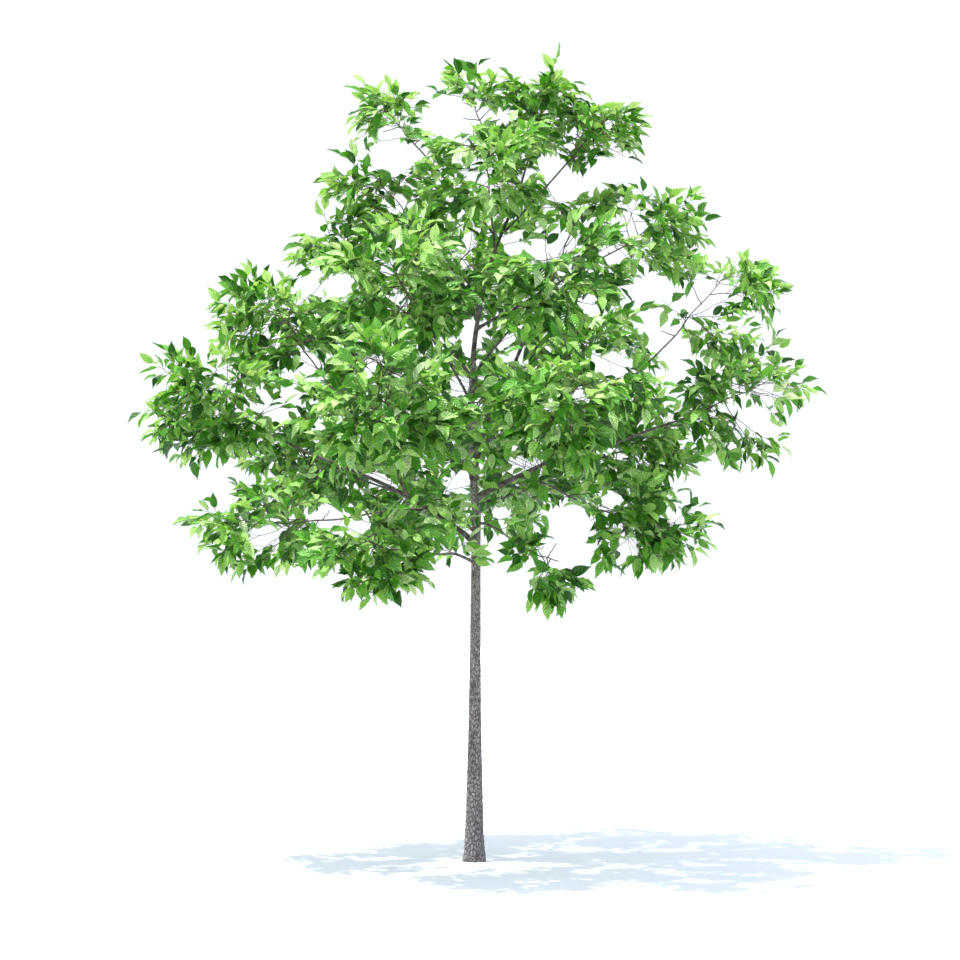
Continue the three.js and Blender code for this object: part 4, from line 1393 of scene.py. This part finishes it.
class PLUM_OT_boughs(bpy.types.Operator):
    """Makes the leader and every bough, with collars where they leave their parents"""

    bl_idname = "plum.boughs"
    bl_label = "Bough bark"

    def execute(self, context):
        bark = context.scene.plum_bark
        no_tint = (1, 1, 1)
        surface = bark_material(
            "smooth_grey_bark", bark.bough_dark, bark.bough_light, no_tint, bark.grain, depth=0.8,
        )
        finish(bough_bark(), surface, BOUGH_NODES)
        return {"FINISHED"}


class PLUM_OT_twigs(bpy.types.Operator):
    """Makes the masses' stems and side twigs, and the fine twigs of every spray"""

    bl_idname = "plum.twigs"
    bl_label = "Twigs"

    def execute(self, context):
        bark = context.scene.plum_bark
        surface = twig_material("young_twig_bark", bark.twig_dark, bark.twig_light)
        for piece in (twig_piece("twigs", "stem", "side"), twig_piece("fine_twigs", "axis", "shoot")):
            finish(piece, surface, MASS_NODES)
        return {"FINISHED"}


class PLUM_OT_leaves(bpy.types.Operator):
    """Makes every leaf blade, one piece for each of the greens dealt out to the sprays"""

    bl_idname = "plum.leaves"
    bl_label = "Leaf blades"

    def execute(self, context):
        look = context.scene.plum_leaves
        rows, tones = leaf_rows()
        for number, tone in enumerate(TONES):
            points, faces, uv = blades(rows[tones == number], look.width, look.fold)
            piece = put_mesh(f"leaves_{tone}", points, faces, uv=uv)
            surface = leaf_material(f"{tone}_green_leaf", getattr(look, tone))
            finish(piece, surface, MASS_NODES)
        return {"FINISHED"}


class PLUM_OT_ribs(bpy.types.Operator):
    """Makes the leaves' stalks and midribs, in a front and a back piece"""

    bl_idname = "plum.ribs"
    bl_label = "Stalks and midribs"

    def execute(self, context):
        look = context.scene.plum_leaves
        rows, _ = leaf_rows()
        darker = [v * RIB_SHADE for v in look.midrib]
        surface = twig_material("pale_green_rib", darker, look.midrib)
        for name, own in (("front_ribs", rows[:, 1] < 0), ("back_ribs", rows[:, 1] >= 0)):
            finish(put_mesh(name, *ribs(rows[own], look.rib / MM)), surface, MASS_NODES)
        return {"FINISHED"}


FLOOR_REACH = 90  # metres from the tree to the floor's edge
FLOOR_RINGS = 12
FLOOR_SIDES = 96
SUN_LEAN = math.radians(17.5)  # from upright, towards the left, so that the shade falls to the right
SUN_FORWARD = math.radians(4)  # and towards the camera
SUN_SOFTNESS = math.radians(0.9)
SKY_STRENGTH = 1.2  # bright enough for the sky itself to read white
FRAME_WIDTH = 5.89  # metres across the picture at the trunk
SENSOR = 36
FURTHEST_SEEN = 300  # metres


class PLUM_OT_stage(bpy.types.Operator):
    """Makes the floor, the soft light and the camera at the photograph's angle"""

    bl_idname = "plum.stage"
    bl_label = "Floor, light and camera"

    def execute(self, context):
        scene = context.scene
        look = scene.plum_stage
        turns = 2 * np.pi * np.arange(FLOOR_SIDES) / FLOOR_SIDES
        reaches = FLOOR_REACH * (np.arange(1, FLOOR_RINGS + 1) / FLOOR_RINGS) ** 2 / MM
        ring = np.stack([np.cos(turns), np.sin(turns), 0 * turns], -1)
        points = np.concatenate([np.zeros((1, 3)), (reaches[:, None, None] * ring).reshape(-1, 3)])
        index = 1 + np.arange(FLOOR_RINGS * FLOOR_SIDES).reshape(FLOOR_RINGS, FLOOR_SIDES)
        middle = np.stack([0 * index[0], index[0], np.roll(index[0], -1)], -1)
        floor = put_mesh("floor", points, [walls(index[::-1]), middle])
        floor.data.materials.append(floor_material("matt_studio_floor", look.floor))
        # The floor throws no light back up, so the undersides of the leaves stay dark
        floor.visible_diffuse = False

        world = bpy.data.worlds.new("studio")
        world.use_nodes = True
        background = world.node_tree.nodes["Background"]
        background.inputs["Color"].default_value = (*look.sky, 1)
        background.inputs["Strength"].default_value = SKY_STRENGTH
        scene.world = world

        sun = bpy.data.objects.new("soft_sun", bpy.data.lights.new("soft_sun", "SUN"))
        sun.data.energy = look.sun
        sun.data.angle = SUN_SOFTNESS
        sun.data.color = look.sun_colour
        sun.rotation_euler = (SUN_FORWARD, -SUN_LEAN, 0)
        scene.collection.objects.link(sun)

        camera = bpy.data.objects.new("camera", bpy.data.cameras.new("camera"))
        camera.location = (PHOTO_MIDDLE * MM, -look.distance, look.eye_height)
        rise = look.aim_height - look.eye_height
        camera.rotation_euler = (math.pi / 2 + math.atan2(rise, look.distance), 0, 0)
        camera.data.sensor_width = SENSOR
        camera.data.lens = SENSOR * math.hypot(rise, look.distance) / FRAME_WIDTH
        camera.data.clip_end = FURTHEST_SEEN
        scene.collection.objects.link(camera)
        scene.camera = camera
        scene.view_settings.view_transform = "Standard"
        return {"FINISHED"}


OPERATORS = (PLUM_OT_stage, PLUM_OT_trunk, PLUM_OT_boughs, PLUM_OT_twigs, PLUM_OT_leaves, PLUM_OT_ribs)


class PLUM_PT_panel(bpy.types.Panel):
    """Lists the tree's pieces, sizes and colours"""

    bl_idname = "PLUM_PT_panel"
    bl_label = "Black plum tree"
    bl_space_type = "VIEW_3D"
    bl_region_type = "UI"
    bl_category = "Plum tree"

    def draw(self, context):
        for group in (context.scene.plum_bark, context.scene.plum_leaves, context.scene.plum_stage):
            box = self.layout.box()
            for name in group.__annotations__:
                box.prop(group, name)
        for operator in OPERATORS:
            self.layout.operator(operator.bl_idname)


GROUPS = {"plum_bark": PlumBark, "plum_leaves": PlumLeaves, "plum_stage": PlumStage}
CLASSES = (*GROUPS.values(), *OPERATORS, PLUM_PT_panel)


def register():
    for made in CLASSES:
        bpy.utils.register_class(made)
    for name, group in GROUPS.items():
        setattr(bpy.types.Scene, name, bpy.props.PointerProperty(type=group))


def unregister():
    for name in GROUPS:
        delattr(bpy.types.Scene, name)
    for made in reversed(CLASSES):
        bpy.utils.unregister_class(made)


def main():
    register()
    bpy.ops.plum.stage()
    bpy.ops.plum.trunk()
    bpy.ops.plum.boughs()
    bpy.ops.plum.twigs()
    bpy.ops.plum.leaves()
    bpy.ops.plum.ribs()


if __name__ == "__main__":
    main()
